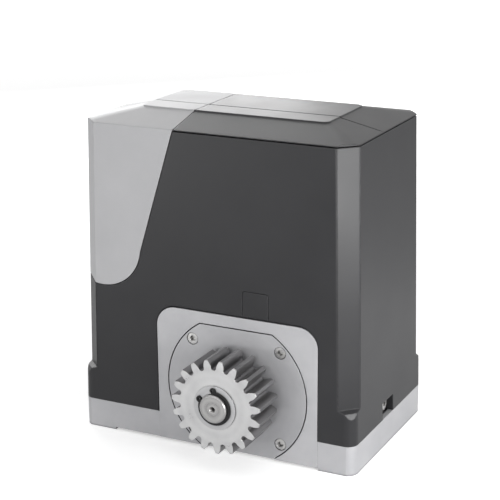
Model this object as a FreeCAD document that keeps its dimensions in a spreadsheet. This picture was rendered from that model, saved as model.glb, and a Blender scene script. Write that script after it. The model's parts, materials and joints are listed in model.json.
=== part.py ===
import FreeCAD, Part
import math
import os
import re
import Sketcher
from FreeCAD import Placement, Rotation, Vector

# Sliding gate motor: a cast base with the gearbox in it, a vertical motor on top of the gearbox,
# the control gear beside the motor, and a moulded cover that lifts off. The pinion drives a rack.
# Frame: X to the right, Y to the back, Z up. The origin is the middle of the footprint, on the ground.
# The front plane, where the pinion stands out, is at y = -base_depth / 2. All sizes are in millimetres.

sizeTable = [
    # base casting
    ("base_width", 265.0, "left to right"),
    ("base_depth", 164.0, "front to back"),
    ("base_height", 26.5, "ground to the seam under the cover"),
    ("base_corner", 10.0, "radius of the four upright corners"),
    ("base_wall", 5.0, "thickness of the rim"),
    ("foot_relief", 2.2, "height of the underside over the ground between the end pads"),
    ("foot_length", 32.5, "length of an end pad along x"),
    ("floor_thickness", 5.0, "floor of the base"),
    ("slot_x", 116.0, "foundation slots, from the middle"),
    ("slot_y", 34.0, "foundation slots, from the middle"),
    ("slot_length", 32.0, "end to end, along y"),
    ("slot_width", 11.0, "for M10 studs"),
    ("leveller_y", 66.0, "levelling screws, from the middle"),
    ("leveller_radius", 4.0, "M8 grub screw"),
    ("leveller_length", 22.0, "levelling screw"),
    ("cable_x", -60.0, "middle of the cable entry"),
    ("cable_y", 54.0, "middle of the cable entry"),
    ("cable_length", 40.0, "cable entry along x"),
    ("cable_width", 28.0, "cable entry along y"),
    # upstand and gearbox in the casting
    ("machined_step", 0.4, "the rim stands back behind the machined face"),
    ("web_thickness", 5.0, "webs on the floor"),
    ("web_drop", 2.5, "top of the webs under the rim"),
    ("lug_width", 18.0, "lugs for the cover screws"),
    ("lug_thickness", 8.0, "lugs for the cover screws"),
    ("motor_seat", 8.0, "plate of the casting under the motor"),
    ("thread_gap", 0.08, "screw to tapped hole"),
    ("shaft_x", 23.0, "output shaft axis"),
    ("shaft_height", 59.0, "output shaft axis over the ground"),
    ("upstand_left", 76.5, "machined face, to the left of the shaft axis"),
    ("upstand_right", 76.0, "machined face, to the right of the shaft axis"),
    ("upstand_top", 126.3, "machined face over the ground"),
    ("upstand_corner", 18.0, "top corners of the machined face"),
    ("upstand_thickness", 10.0, "plate behind the machined face"),
    ("chamber_radius", 50.0, "gear chamber"),
    ("chamber_depth", 98.0, "back wall of the gear chamber, behind the front plane"),
    ("gearbox_wall", 6.5, "wall round the gear chamber"),
    ("gearbox_back", 16.0, "thickness of the back wall"),
    # flange of the gearbox
    ("flange_radius", 65.8, "round flange plate"),
    ("flange_half_flat", 56.3, "flats at top and bottom, from the shaft axis"),
    ("flange_thickness", 8.0, "let flush into the upstand"),
    ("flange_gap", 1.0, "joint line round the flange"),
    ("flange_screw_offset", 41.7, "flange screws, from the shaft axis along x and z"),
    ("flange_boss_radius", 30.0, "boss that holds the front bearing"),
    ("flange_boss_depth", 22.0, "end of that boss behind the front plane"),
    ("screw_radius", 3.0, "M6 shanks"),
    ("screw_head_radius", 5.0, "M6 socket heads"),
    ("screw_head_height", 6.0, "M6 socket heads"),
    ("screw_length", 20.0, "under the head"),
    ("counterbore_radius", 5.6, "round the socket heads"),
    ("screw_boss_radius", 7.0, "bosses of the casting for the flange screws"),
    # output shaft and its bearings
    ("shaft_radius", 12.5, "where the pinion and the front bearing sit"),
    ("shaft_reach", 44.3, "end of the shaft in front of the front plane"),
    ("shaft_wheel_radius", 15.0, "where the worm wheel and the clutch dog run"),
    ("shaft_collar_radius", 18.0, "collar behind the worm wheel"),
    ("shaft_rear_radius", 10.0, "in the rear bearing"),
    ("front_bearing_radius", 23.5, "outside of the front bearing"),
    ("rear_bearing_radius", 21.0, "outside of the rear bearing"),
    ("bearing_width", 12.0, "both bearings of the output shaft"),
    ("seal_radius", 20.0, "outside of the shaft seal"),
    ("seal_width", 7.0, "shaft seal"),
    ("running_fit", 0.05, "radial clearance of a bore that turns on a shaft"),
    ("seat_gap", 0.02, "radial clearance of a fixed seat"),
    ("air_gap", 0.3, "clearance between pieces that only lie close"),
    # pinion
    ("pinion_module", 4.0, "for a module 4 rack"),
    ("pinion_teeth", 19.0, "teeth of the pinion"),
    ("pinion_width", 35.0, "face width"),
    ("pinion_gap", 4.0, "flange to the back of the pinion"),
    ("pinion_phase", 7.9, "a tooth's angle from upright, towards +x"),
    ("washer_radius", 19.3, "pinion washer"),
    ("washer_thickness", 1.3, "pinion washer"),
    ("circlip_thickness", 1.2, "pinion circlip"),
    ("circlip_radius", 15.2, "outside of the circlip"),
    ("groove_radius", 11.9, "floor of the circlip groove"),
    ("circlip_lug", 17.2, "outside of the circlip's lugs"),
    ("circlip_turn", 35.0, "the circlip's gap from upright, towards -x, in degrees"),
    ("tip_chamfer", 0.6, "ends of the pinion's teeth"),
    ("key_width", 8.0, "pinion key"),
    ("key_height", 7.0, "pinion key"),
    ("key_length", 28.0, "pinion key"),
    # worm gear
    ("worm_module", 2.5, "axial module"),
    ("wheel_teeth", 32.0, "teeth of the worm wheel, one start on the worm"),
    ("wheel_width", 18.0, "face width"),
    ("wheel_depth", 62.0, "middle of the worm wheel behind the front plane"),
    ("worm_pitch_radius", 11.0, "worm"),
    ("worm_turns", 3.0, "turns of the worm thread"),
    ("flank_slope", 0.364, "tangent of the pressure angle"),
    ("worm_bearing_low", 14.0, "underside of the lower worm bearing over the ground"),
    ("worm_bearing_width", 10.0, "lower worm bearing"),
    ("top_bearing_radius", 17.5, "bearing in the upper end shield"),
    ("mesh_clearance", 0.35, "taken off each flank of the worm thread"),
    # clutch between wheel and shaft
    ("dog_depth", 34.0, "front of the clutch dog behind the front plane"),
    ("dog_length", 14.0, "ring of the clutch dog"),
    ("dog_radius", 24.0, "outside of the clutch dog"),
    ("dog_travel", 5.0, "how far the dog is pushed off the wheel"),
    ("spring_wire", 2.0, "clutch spring"),
    ("dog_bite", 4.5, "how deep its teeth stand in the wheel"),
    ("cross_pin_radius", 2.5, "pin through dog and shaft"),
    ("rod_radius", 3.6, "push rod in the shaft's bore"),
    ("shaft_bore_radius", 4.2, "bore for the push rod"),
    # hand release at the back
    ("release_radius", 31.0, "release housing"),
    ("release_wall", 3.0, "release housing"),
    ("release_depth", 21.7, "release housing, front to back"),
    ("release_inset", 0.3, "rear face of the housing inside the rear plane"),
    ("lever_length", 50.0, "grip of the release lever"),
    ("lever_width", 12.0, "grip of the release lever"),
    ("lever_spindle", 8.0, "spindle radius of the lever"),
    ("lever_spindle_end", 46.0, "front end of the spindle, at this y"),
    ("lock_radius", 4.5, "lock plug in the grip"),
    ("boss_radius", 24.0, "boss of the casting behind the release housing"),
    ("release_screw_circle", 18.5, "radius of the release screws' circle"),
    ("release_screw_radius", 2.0, "M4 shanks"),
    ("release_screw_length", 12.0, "under the head"),
    ("release_floor", 4.0, "floor of the release housing"),
    # motor over the worm
    ("tower_top", 120.0, "seat of the motor on the casting"),
    ("tower_radius", 27.0, "casting round the worm"),
    ("worm_bore_radius", 16.0, "bore for the worm and its lower bearing"),
    ("main_bearing_radius", 21.0, "bearing under the motor"),
    ("motor_radius", 50.0, "motor housing"),
    ("motor_wall", 3.0, "motor housing"),
    ("motor_height", 104.0, "motor housing"),
    ("motor_flange_thickness", 8.0, "lower end shield"),
    ("motor_shield_thickness", 10.0, "upper end shield"),
    ("stator_height", 66.0, "laminated stack"),
    ("rotor_radius", 28.4, "rotor"),
    ("rotor_gap", 0.6, "between rotor and stator"),
    ("coil_height", 14.0, "coil heads over and under the stack"),
    ("journal_radius", 6.0, "rotor shaft in the lower bearing"),
    ("rotor_shaft_radius", 10.0, "rotor shaft in the main bearing and the rotor"),
    ("top_journal_radius", 7.5, "rotor shaft in the upper end shield"),
    ("tie_bolt_circle", 55.5, "radius of the tie bolts' circle"),
    ("tie_bolt_radius", 2.5, "M5 tie bolts"),
    ("ear_radius", 6.0, "ears for the tie bolts"),
    # cover
    ("cover_gap", 0.3, "seam between base and cover"),
    ("cover_wall", 3.0, "cover mouldings"),
    ("cover_top", 282.0, "top edge of the cover's walls"),
    ("cover_draft_x", 5.0, "each end wall leans in by this much at the top"),
    ("cover_draft_y", 3.0, "front and back walls lean in by this much at the top"),
    ("bevel", 14.5, "flat on each upright corner, along x and y"),
    ("ramp_low", 49.0, "foot of the ramp under the flat"),
    ("ramp_high", 57.5, "top of the ramp"),
    ("ledge_drop", 2.0, "the ramp starts with a shallow ledge of this height"),
    ("ledge_bevel", 8.5, "what is left of the flat under that ledge"),
    ("bevel_groove", 0.6, "grooves along the edges of the flats"),
    ("roof_rise", 8.6, "hipped roof"),
    ("plateau_x", 89.0, "half length of the flat on the roof"),
    ("plateau_y", 40.0, "half width of the flat on the roof"),
    ("plateau_corner", 7.0, "corners of the flat"),
    ("plateau_step", 1.1, "lip round the flat"),
    ("lid_seam", 1.0, "joint line under the lid"),
    ("seam", 0.7, "joint line between the mouldings"),
    ("roof_groove_y", -13.7, "groove along the roof"),
    ("roof_groove_width", 1.5, "groove along the roof"),
    ("roof_groove_depth", 2.0, "groove along the roof"),
    ("cap_seam_x", -35.8, "end cap's seam on the roof"),
    ("cap_bend_x", -69.8, "lower end of the cap's straight edge"),
    ("cap_bend_z", 171.5, "lower end of the cap's straight edge"),
    ("cap_tip_x", -114.8, "end of the cap's round edge"),
    ("cap_tip_z", 137.9, "end of the cap's round edge"),
    ("cap_arc_radius", 38.4, "round edge of the end cap"),
    ("cap_side_z", 141.0, "lower edge of the cap on the end wall"),
    ("cutout_gap", 0.9, "cover to upstand"),
    ("window_left", 29.0, "window over the upstand"),
    ("window_width", 24.5, "window over the upstand"),
    ("window_height", 23.0, "window over the upstand"),
    ("window_corner", 2.5, "top corners of the window"),
    ("window_gap", 0.35, "blanking plug to window"),
    ("pocket_y", -4.0, "cover screws, from the middle"),
    ("pocket_width", 25.5, "pocket round a cover screw"),
    ("pocket_top", 42.0, "pocket round a cover screw"),
    ("pocket_depth", 8.3, "pocket round a cover screw"),
    ("pocket_wall", 2.5, "walls of the pocket"),
    ("cover_screw_z", 37.0, "cover screws over the ground"),
    # control gear
    ("carrier_left", 48.0, "board carrier"),
    ("carrier_right", 117.0, "board carrier"),
    ("carrier_y", 48.0, "front face of the carrier's wall"),
    ("carrier_wall", 3.0, "board carrier"),
    ("carrier_top", 240.0, "board carrier"),
    ("shelf_z", 130.0, "underside of the transformer shelf"),
    ("shelf_front", -34.0, "front edge of the shelf"),
    ("board_low", 102.0, "lower edge of the control board"),
    ("board_height", 128.0, "control board"),
    ("board_gap", 6.0, "standoffs under the board"),
    ("board_thickness", 1.6, "control board"),
    ("core_x", 66.0, "transformer core along x"),
    ("core_z", 55.0, "transformer core height"),
    ("core_y", 24.0, "transformer core along y"),
    ("coil_overhang", 11.0, "coil in front of and behind the core"),
    ("capacitor_x", -104.0, "capacitor"),
    ("capacitor_y", 36.0, "capacitor"),
    ("capacitor_radius", 18.0, "capacitor"),
    ("capacitor_height", 82.0, "capacitor"),
]
sizes = {alias: value for alias, value, note in sizeTable}

os.makedirs("parts", exist_ok=True)
doc = FreeCAD.newDocument("SlidingGateMotor")
sheet = doc.addObject("Spreadsheet::Sheet", "Sizes")
for row, (alias, value, note) in enumerate(sizeTable, start=1):
    sheet.set(f"A{row}", alias)
    sheet.set(f"B{row}", str(value))
    sheet.set(f"C{row}", note)
    sheet.setAlias(f"B{row}", alias)
doc.recompute()

aliasWord = re.compile(r"[a-z][a-z_]*[a-z]")


def bound(text):
    """The expression with each size written as a cell of the sheet."""
    return aliasWord.sub(lambda word: "Sizes." + word[0] if word[0] in sizes else word[0], text)


def number(text):
    """The value of the expression, for first positions and for shapes that are computed here."""
    filled = aliasWord.sub(lambda word: repr(sizes[word[0]]) if word[0] in sizes else word[0], text)
    return FreeCAD.Units.Quantity(filled).Value


# places that several pieces share
front = "(-base_depth / 2)"
rear = "(base_depth / 2)"
floorTop = "(foot_relief + floor_thickness)"
coverLow = "(base_height + cover_gap)"
upstandLow = "(shaft_x - upstand_left)"
upstandHigh = "(shaft_x + upstand_right)"
frontBearing = "(flange_boss_depth - bearing_width)"
wheelRadius = "(wheel_teeth * worm_module / 2)"
wormX = "(shaft_x - wheel_teeth * worm_module / 2 - worm_pitch_radius)"
wormY = "(wheel_depth - base_depth / 2)"
wheelFront = "(wheel_depth - wheel_width / 2)"
wheelBack = "(wheel_depth + wheel_width / 2)"
gearboxBack = "(chamber_depth + gearbox_back)"
wormPitch = "(pi * worm_module)"
housingLow = "(tower_top + motor_flange_thickness)"
housingHigh = "(tower_top + motor_flange_thickness + motor_height)"
stackLow = "(tower_top + motor_flange_thickness + 20)"
stackHigh = "(tower_top + motor_flange_thickness + 20 + stator_height)"
releaseFront = "(base_depth / 2 - release_inset - release_depth)"
lugFace = "(base_width / 2 - pocket_depth - pocket_wall - air_gap)"
mainBearingLow = "(tower_top - bearing_width - 2)"
boardFace = "(carrier_y + carrier_wall + board_gap)"
roofTop = "(cover_top + roof_rise + plateau_step)"
onShaft = ("shaft_x", front, "shaft_height")
onWorm = (wormX, wormY, "0")

upright = Rotation()
frontward = Rotation(Vector(1, 0, 0), 90)  # the piece's own z points to the front, its y points up
rearward = Rotation(Vector(-1, 0, 0), Vector(0, 0, 1), Vector(0, 1, 0), "ZYX")
screwward = Rotation(Vector(0, 1, 0), Vector(0, 0, 1), Vector(1, 0, 0), "ZYX")  # own x is y, own y is z


def place(piece, at=("0", "0", "0"), turn=upright):
    piece.Placement = Placement(Vector(*(number(value) for value in at)), turn)
    for axis, value in zip("xyz", at):
        piece.setExpression("Placement.Base." + axis, bound(value))


def newBody(label, at=("0", "0", "0"), turn=upright):
    body = doc.addObject("PartDesign::Body", label)
    body.Label = label
    place(body, at, turn)
    return body


def newSketch(body, role="XY_Plane", offset="0"):
    """A sketch on one of the body's own planes, moved along the plane's normal."""
    sketch = body.newObject("Sketcher::SketchObject", "Sketch")
    plane = next(item for item in body.Origin.OriginFeatures if item.Role == role)
    sketch.AttachmentSupport = [(plane, "")]
    sketch.MapMode = "FlatFace"
    sketch.setExpression("AttachmentOffset.Base.z", bound(offset))
    return sketch


def freeSketch(label, at=("0", "0", "0"), turn=upright):
    """A sketch for a loft or an extrusion outside a body."""
    sketch = doc.addObject("Sketcher::SketchObject", label)
    place(sketch, at, turn)
    return sketch


def constrain(sketch, kind, geometry, text):
    index = sketch.addConstraint(Sketcher.Constraint(kind, *geometry, number(text)))
    sketch.setExpression(f"Constraints[{index}]", bound(text))


def locate(sketch, edge, end, x, y):
    constrain(sketch, "DistanceX", (-1, 1, edge, end), x)
    constrain(sketch, "DistanceY", (-1, 1, edge, end), y)


def circle(sketch, x, y, radius):
    centre = Vector(number(x), number(y), 0)
    edge = sketch.addGeometry(Part.Circle(centre, Vector(0, 0, 1), number(radius)), False)
    locate(sketch, edge, 3, x, y)
    constrain(sketch, "Radius", (edge,), radius)


def outline(sketch, points):
    """A closed outline through the points. A point (x, y, radius, side) is reached by an arc whose
    centre is on the left (+1) or on the right (-1) of the way from the point before."""
    corners = [Vector(number(point[0]), number(point[1]), 0) for point in points]
    edges = []
    for index, point in enumerate(points):
        start, end = corners[index - 1], corners[index]
        if len(point) == 2:
            edges.append(sketch.addGeometry(Part.LineSegment(start, end), False))
        else:
            radius, side = number(point[2]), point[3]
            middle, chord = (start + end) * 0.5, end - start
            normal = Vector(-chord.y, chord.x, 0).normalize() * side
            depth = math.sqrt(max(radius ** 2 - (chord.Length / 2) ** 2, 0.0))
            crown = middle + normal * (depth - radius)
            edges.append(sketch.addGeometry(Part.Arc(start, crown, end), False))
    for index, edge in enumerate(edges):
        follower = edges[(index + 1) % len(edges)]
        leaves, enters = (2, 1)
        if isArc(sketch, edge) and not sameSpot(sketch.getPoint(edge, 2), corners[index]):
            leaves = 1
        if isArc(sketch, follower) and not sameSpot(sketch.getPoint(follower, 1), corners[index]):
            enters = 2
        sketch.addConstraint(Sketcher.Constraint("Coincident", edge, leaves, follower, enters))
        locate(sketch, edge, leaves, points[index][0], points[index][1])
        if len(points[index]) > 2:
            chord = corners[index] - corners[index - 1]
            if abs(chord.Length - 2 * number(points[index][2])) > 1e-6:
                constrain(sketch, "Radius", (edge,), points[index][2])
            else:  # a half circle: its centre lies on the chord
                level = "Horizontal" if abs(chord.y) < abs(chord.x) else "Vertical"
                sketch.addConstraint(Sketcher.Constraint(level, edge, 3, edge, 1))
    return edges


def isArc(sketch, edge):
    return sketch.Geometry[edge].TypeId == "Part::GeomArcOfCircle"


def sameSpot(a, b):
    return (a - b).Length < 1e-6


def rectangle(sketch, left, right, low, high):
    outline(sketch, [(left, low), (right, low), (right, high), (left, high)])


def roundedRectangle(sketch, halfX, halfY, radius):
    """Centred on the sketch's origin, anticlockwise."""
    outline(sketch, [
        (f"{halfX} - {radius}", f"-({halfY})"),
        (f"{halfX}", f"-({halfY}) + {radius}", radius, 1),
        (f"{halfX}", f"{halfY} - {radius}"),
        (f"{halfX} - {radius}", f"{halfY}", radius, 1),
        (f"-({halfX}) + {radius}", f"{halfY}"),
        (f"-({halfX})", f"{halfY} - {radius}", radius, 1),
        (f"-({halfX})", f"-({halfY}) + {radius}"),
        (f"-({halfX}) + {radius}", f"-({halfY})", radius, 1),
    ])


def slot(sketch, x, y, length, width):
    """A slot with round ends, along the sketch's y."""
    half = f"({length} - {width}) / 2"
    outline(sketch, [
        (f"{x} + {width} / 2", f"{y} + {half}"),
        (f"{x} - {width} / 2", f"{y} + {half}", f"{width} / 2", 1),
        (f"{x} - {width} / 2", f"{y} - {half}"),
        (f"{x} + {width} / 2", f"{y} - {half}", f"{width} / 2", 1),
    ])


def arch(sketch, left, right, low, high, radius):
    """Straight sides, a straight top and two round top corners."""
    outline(sketch, [
        (left, low),
        (right, low),
        (right, f"{high} - {radius}"),
        (f"{right} - {radius}", high, radius, 1),
        (f"{left} + {radius}", high),
        (left, f"{high} - {radius}", radius, 1),
    ])


def pad(body, sketch, length, reverse=False):
    feature = body.newObject("PartDesign::Pad", "Pad")
    feature.Profile = sketch
    feature.setExpression("Length", bound(length))
    feature.Reversed = reverse
    body.Tip = feature
    return feature


def pocket(body, sketch, length, reverse=False):
    feature = body.newObject("PartDesign::Pocket", "Pocket")
    feature.Profile = sketch
    feature.setExpression("Length", bound(length))
    feature.Reversed = reverse
    body.Tip = feature
    return feature


def revolve(body, points, kind="PartDesign::Revolution"):
    """Turns an outline of (radius, height) round the body's own z."""
    sketch = newSketch(body, "XZ_Plane")
    outline(sketch, points)
    feature = body.newObject(kind, kind.split("::")[1])
    feature.Profile = sketch
    feature.ReferenceAxis = (sketch, ["V_Axis"])
    feature.Angle = 360
    body.Tip = feature
    return feature


def dress(body, kind, size, choose):
    """A fillet or a chamfer on the edges that choose picks."""
    doc.recompute()
    base = body.Tip
    names = [f"Edge{index}" for index, edge in enumerate(base.Shape.Edges, start=1) if choose(edge)]
    feature = body.newObject("PartDesign::" + kind, kind)
    feature.Base = (base, names)
    feature.setExpression("Radius" if kind == "Fillet" else "Size", bound(size))
    body.Tip = feature
    return feature


def turned(label, points, at, turn=upright):
    """A piece made on the lathe: an outline of (radius, height) round its own z."""
    body = newBody(label, at, turn)
    revolve(body, points)
    return body


def ring(label, inner, outer, low, high, at, turn=upright):
    return turned(label, [(inner, low), (outer, low), (outer, high), (inner, high)], at, turn)


def boolean(kind, base, tool):
    piece = doc.addObject("Part::" + kind, kind)
    piece.Base = base
    piece.Tool = tool
    return piece


def fuse(pieces):
    piece = doc.addObject("Part::MultiFuse", "MultiFuse")
    piece.Shapes = pieces
    return piece


def loft(label, sketches):
    piece = doc.addObject("Part::Loft", label)
    piece.Sections = sketches
    piece.Solid = True
    piece.Ruled = True
    return piece


def extrusion(sketch, direction, length, back="0"):
    piece = doc.addObject("Part::Extrusion", "Extrusion")
    piece.Base = sketch
    piece.DirMode = "Custom"
    piece.Dir = direction
    piece.Solid = True
    piece.setExpression("LengthFwd", bound(length))
    piece.setExpression("LengthRev", bound(back))
    return piece


def box(low, high):
    """A block between two corners."""
    piece = doc.addObject("Part::Box", "Box")
    place(piece, low)
    for name, start, end in zip(("Length", "Width", "Height"), low, high):
        piece.setExpression(name, bound(f"{end} - ({start})"))
    return piece


nodes = []


def node(piece, label=None):
    """Marks a finished sub-part, which is written to its own file."""
    if label:
        piece.Label = label
    nodes.append(piece)
    return piece


def flattedDisc(sketch, x, y, radius, halfFlat):
    """A disc with a flat at the top and at the bottom."""
    half = f"sqrt({radius} * {radius} - {halfFlat} * {halfFlat})"
    outline(sketch, [
        (f"{x} + {half}", f"{y} - {halfFlat}"),
        (f"{x} + {half}", f"{y} + {halfFlat}", radius, 1),
        (f"{x} - {half}", f"{y} + {halfFlat}"),
        (f"{x} - {half}", f"{y} - {halfFlat}", radius, 1),
    ])


def hexagon(sketch, x, y, side):
    outline(sketch, [
        (f"{x} + {side}", y),
        (f"{x} + {side} / 2", f"{y} + {side} * 0.866"),
        (f"{x} - {side} / 2", f"{y} + {side} * 0.866"),
        (f"{x} - {side}", y),
        (f"{x} - {side} / 2", f"{y} - {side} * 0.866"),
        (f"{x} + {side} / 2", f"{y} - {side} * 0.866"),
    ])


fourCorners = [("", ""), ("-", ""), ("-", "-"), ("", "-")]  # signs of x and y


def flangeScrewPlaces(x="0", y="0"):
    offset = "flange_screw_offset"
    return [(f"{x} + ({a}{offset})", f"{y} + ({b}{offset})") for a, b in fourCorners]


def tieBoltPlaces(x="0", y="0"):
    offset = "(tie_bolt_circle * 0.7071)"
    return [(f"{x} + ({a}{offset})", f"{y} + ({b}{offset})") for a, b in fourCorners]


def makeBaseCasting():
    body = newBody("base_casting")
    # rim, floor and the relief between the two end pads
    sketch = newSketch(body)
    roundedRectangle(sketch, "base_width / 2", "base_depth / 2", "base_corner")
    pad(body, sketch, "base_height")
    sketch = newSketch(body, "XY_Plane", "base_height")
    inside = ("(base_width / 2 - base_wall)", "(base_depth / 2 - base_wall)")
    roundedRectangle(sketch, *inside, "(base_corner - base_wall)")
    pocket(body, sketch, f"base_height - {floorTop}")
    sketch = newSketch(body)
    reliefEnd = "(base_width / 2 - foot_length)"
    rectangle(sketch, f"-{reliefEnd}", reliefEnd, "-base_depth", "base_depth")
    pocket(body, sketch, "foot_relief", True)
    # the rim stands back a little on both sides of the machined face
    sketch = newSketch(body, "XZ_Plane", "base_depth / 2")
    rectangle(sketch, upstandHigh, "base_width", "-1", "base_height + 1")
    rectangle(sketch, "-base_width", upstandLow, "-1", "base_height + 1")
    pocket(body, sketch, "machined_step")
    # upstand, gear chamber and the tower round the worm
    sketch = newSketch(body, "XZ_Plane", "base_depth / 2")
    arch(sketch, upstandLow, upstandHigh, "foot_relief", "upstand_top", "upstand_corner")
    pad(body, sketch, "upstand_thickness", True)
    sketch = newSketch(body, "XZ_Plane", "base_depth / 2")
    circle(sketch, "shaft_x", "shaft_height", "chamber_radius + gearbox_wall")
    pad(body, sketch, gearboxBack, True)
    sketch = newSketch(body, "XZ_Plane", "base_depth / 2")
    half = "(chamber_radius + gearbox_wall)"
    rectangle(sketch, f"shaft_x - {half}", f"shaft_x + {half}", "foot_relief", "shaft_height")
    pad(body, sketch, gearboxBack, True)
    sketch = newSketch(body, "XZ_Plane", "base_depth / 2")
    for spot in flangeScrewPlaces("shaft_x", "shaft_height"):
        circle(sketch, *spot, "screw_boss_radius")
    pad(body, sketch, "screw_head_height + screw_length + 6", True)
    sketch = newSketch(body, "XY_Plane", "foot_relief")
    circle(sketch, wormX, wormY, "tower_radius")
    pad(body, sketch, "tower_top - foot_relief")
    sketch = newSketch(body, "XY_Plane", "tower_top - motor_seat")
    circle(sketch, wormX, wormY, "motor_radius")
    pad(body, sketch, "motor_seat")
    for spot in tieBoltPlaces(wormX, wormY):
        sketch = newSketch(body, "XY_Plane", "tower_top - motor_seat")
        circle(sketch, *spot, "ear_radius")
        pad(body, sketch, "motor_seat")
    # boss behind the gearbox that carries the hand release
    sketch = newSketch(body, "XZ_Plane", f"base_depth / 2 - {gearboxBack}")
    circle(sketch, "shaft_x", "shaft_height", "boss_radius")
    pad(body, sketch, f"{releaseFront} + base_depth / 2 - {gearboxBack}", True)
    # webs that stiffen the floor, from the gearbox and the tower to the rim
    half = "(web_thickness / 2)"
    rimX, rimY = "(base_width / 2 - base_wall / 2)", "(base_depth / 2 - base_wall / 2)"
    for left, right, low, high in (
        (f"-{rimX}", wormX, f"pocket_y - {half}", f"pocket_y + {half}"),
        ("shaft_x", rimX, f"pocket_y - {half}", f"pocket_y + {half}"),
        (f"shaft_x - {half}", f"shaft_x + {half}", "0", rimY),
        (f"{wormX} - {half}", f"{wormX} + {half}", "0", rimY),
    ):
        sketch = newSketch(body, "XY_Plane", "foot_relief")
        rectangle(sketch, left, right, low, high)
        pad(body, sketch, "base_height - web_drop - foot_relief")
    # lugs for the two cover screws
    sketch = newSketch(body, "XY_Plane", "foot_relief")
    lug = ("pocket_y - lug_width / 2", "pocket_y + lug_width / 2")
    rectangle(sketch, f"{lugFace} - lug_thickness", lugFace, *lug)
    rectangle(sketch, f"-{lugFace}", f"-{lugFace} + lug_thickness", *lug)
    pad(body, sketch, "cover_screw_z + lug_width / 2 - foot_relief")
    # seat of the flange and everything bored along the shaft
    sketch = newSketch(body, "XZ_Plane", "base_depth / 2")
    seat = ("flange_radius + flange_gap", "flange_half_flat + flange_gap")
    flattedDisc(sketch, "shaft_x", "shaft_height", *(f"({value})" for value in seat))
    pocket(body, sketch, "flange_thickness")
    for depth, end, radius in (
        ("0", "chamber_depth", "chamber_radius"),
        ("chamber_depth", "chamber_depth + bearing_width", "rear_bearing_radius + seat_gap"),
        ("chamber_depth", f"{rear} + lever_spindle_end", "rod_radius + running_fit"),
        (f"{rear} + lever_spindle_end", f"{rear} + {releaseFront}", "lever_spindle + running_fit"),
    ):
        sketch = newSketch(body, "XZ_Plane", f"base_depth / 2 - ({depth})")
        circle(sketch, "shaft_x", "shaft_height", radius)
        pocket(body, sketch, f"{end} - ({depth})")
    # bore of the worm with the seats of its bearings
    sketch = newSketch(body, "XY_Plane", "tower_top")
    circle(sketch, wormX, wormY, "worm_bore_radius + seat_gap")
    pocket(body, sketch, "tower_top - worm_bearing_low")
    sketch = newSketch(body, "XY_Plane", "tower_top")
    circle(sketch, wormX, wormY, "main_bearing_radius + seat_gap")
    pocket(body, sketch, f"tower_top - {mainBearingLow}")
    # tapped holes: flange, motor, release housing, cover
    sketch = newSketch(body, "XZ_Plane", "base_depth / 2")
    for spot in flangeScrewPlaces("shaft_x", "shaft_height"):
        circle(sketch, *spot, "screw_radius + thread_gap")
    pocket(body, sketch, "screw_head_height + screw_length + 2")
    sketch = newSketch(body, "XY_Plane", "tower_top")
    for spot in tieBoltPlaces(wormX, wormY):
        circle(sketch, *spot, "tie_bolt_radius + thread_gap")
    pocket(body, sketch, "motor_seat")
    sketch = newSketch(body, "XZ_Plane", f"-{releaseFront}")
    for x, y in releaseScrewPlaces("shaft_x", "shaft_height"):
        circle(sketch, x, y, "release_screw_radius + thread_gap")
    pocket(body, sketch, "release_screw_length", True)
    for side, reverse in (("", False), ("-", True)):
        sketch = newSketch(body, "YZ_Plane", f"{side}{lugFace}")
        circle(sketch, "pocket_y", "cover_screw_z", "screw_radius + thread_gap")
        pocket(body, sketch, "lug_thickness", reverse)
    # foundation slots, levelling screws and the cable entry go through the floor
    sketch = newSketch(body, "XY_Plane", "-1")
    for a, b in fourCorners:
        slot(sketch, f"({a}slot_x)", f"({b}slot_y)", "slot_length", "slot_width")
        circle(sketch, f"({a}slot_x)", f"({b}leveller_y)", "leveller_radius + thread_gap")
    left = "(cable_x - cable_length / 2)"
    right = "(cable_x + cable_length / 2)"
    rectangle(sketch, left, right, "cable_y - cable_width / 2", "cable_y + cable_width / 2")
    pocket(body, sketch, f"{floorTop} + 2", True)
    return node(body)


def releaseScrewPlaces(x="0", y="0"):
    circleRadius = "release_screw_circle"
    return [
        (x, f"{y} + {circleRadius}"),
        (f"{x} + {circleRadius} * 0.866", f"{y} - {circleRadius} / 2"),
        (f"{x} - {circleRadius} * 0.866", f"{y} - {circleRadius} / 2"),
    ]


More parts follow.
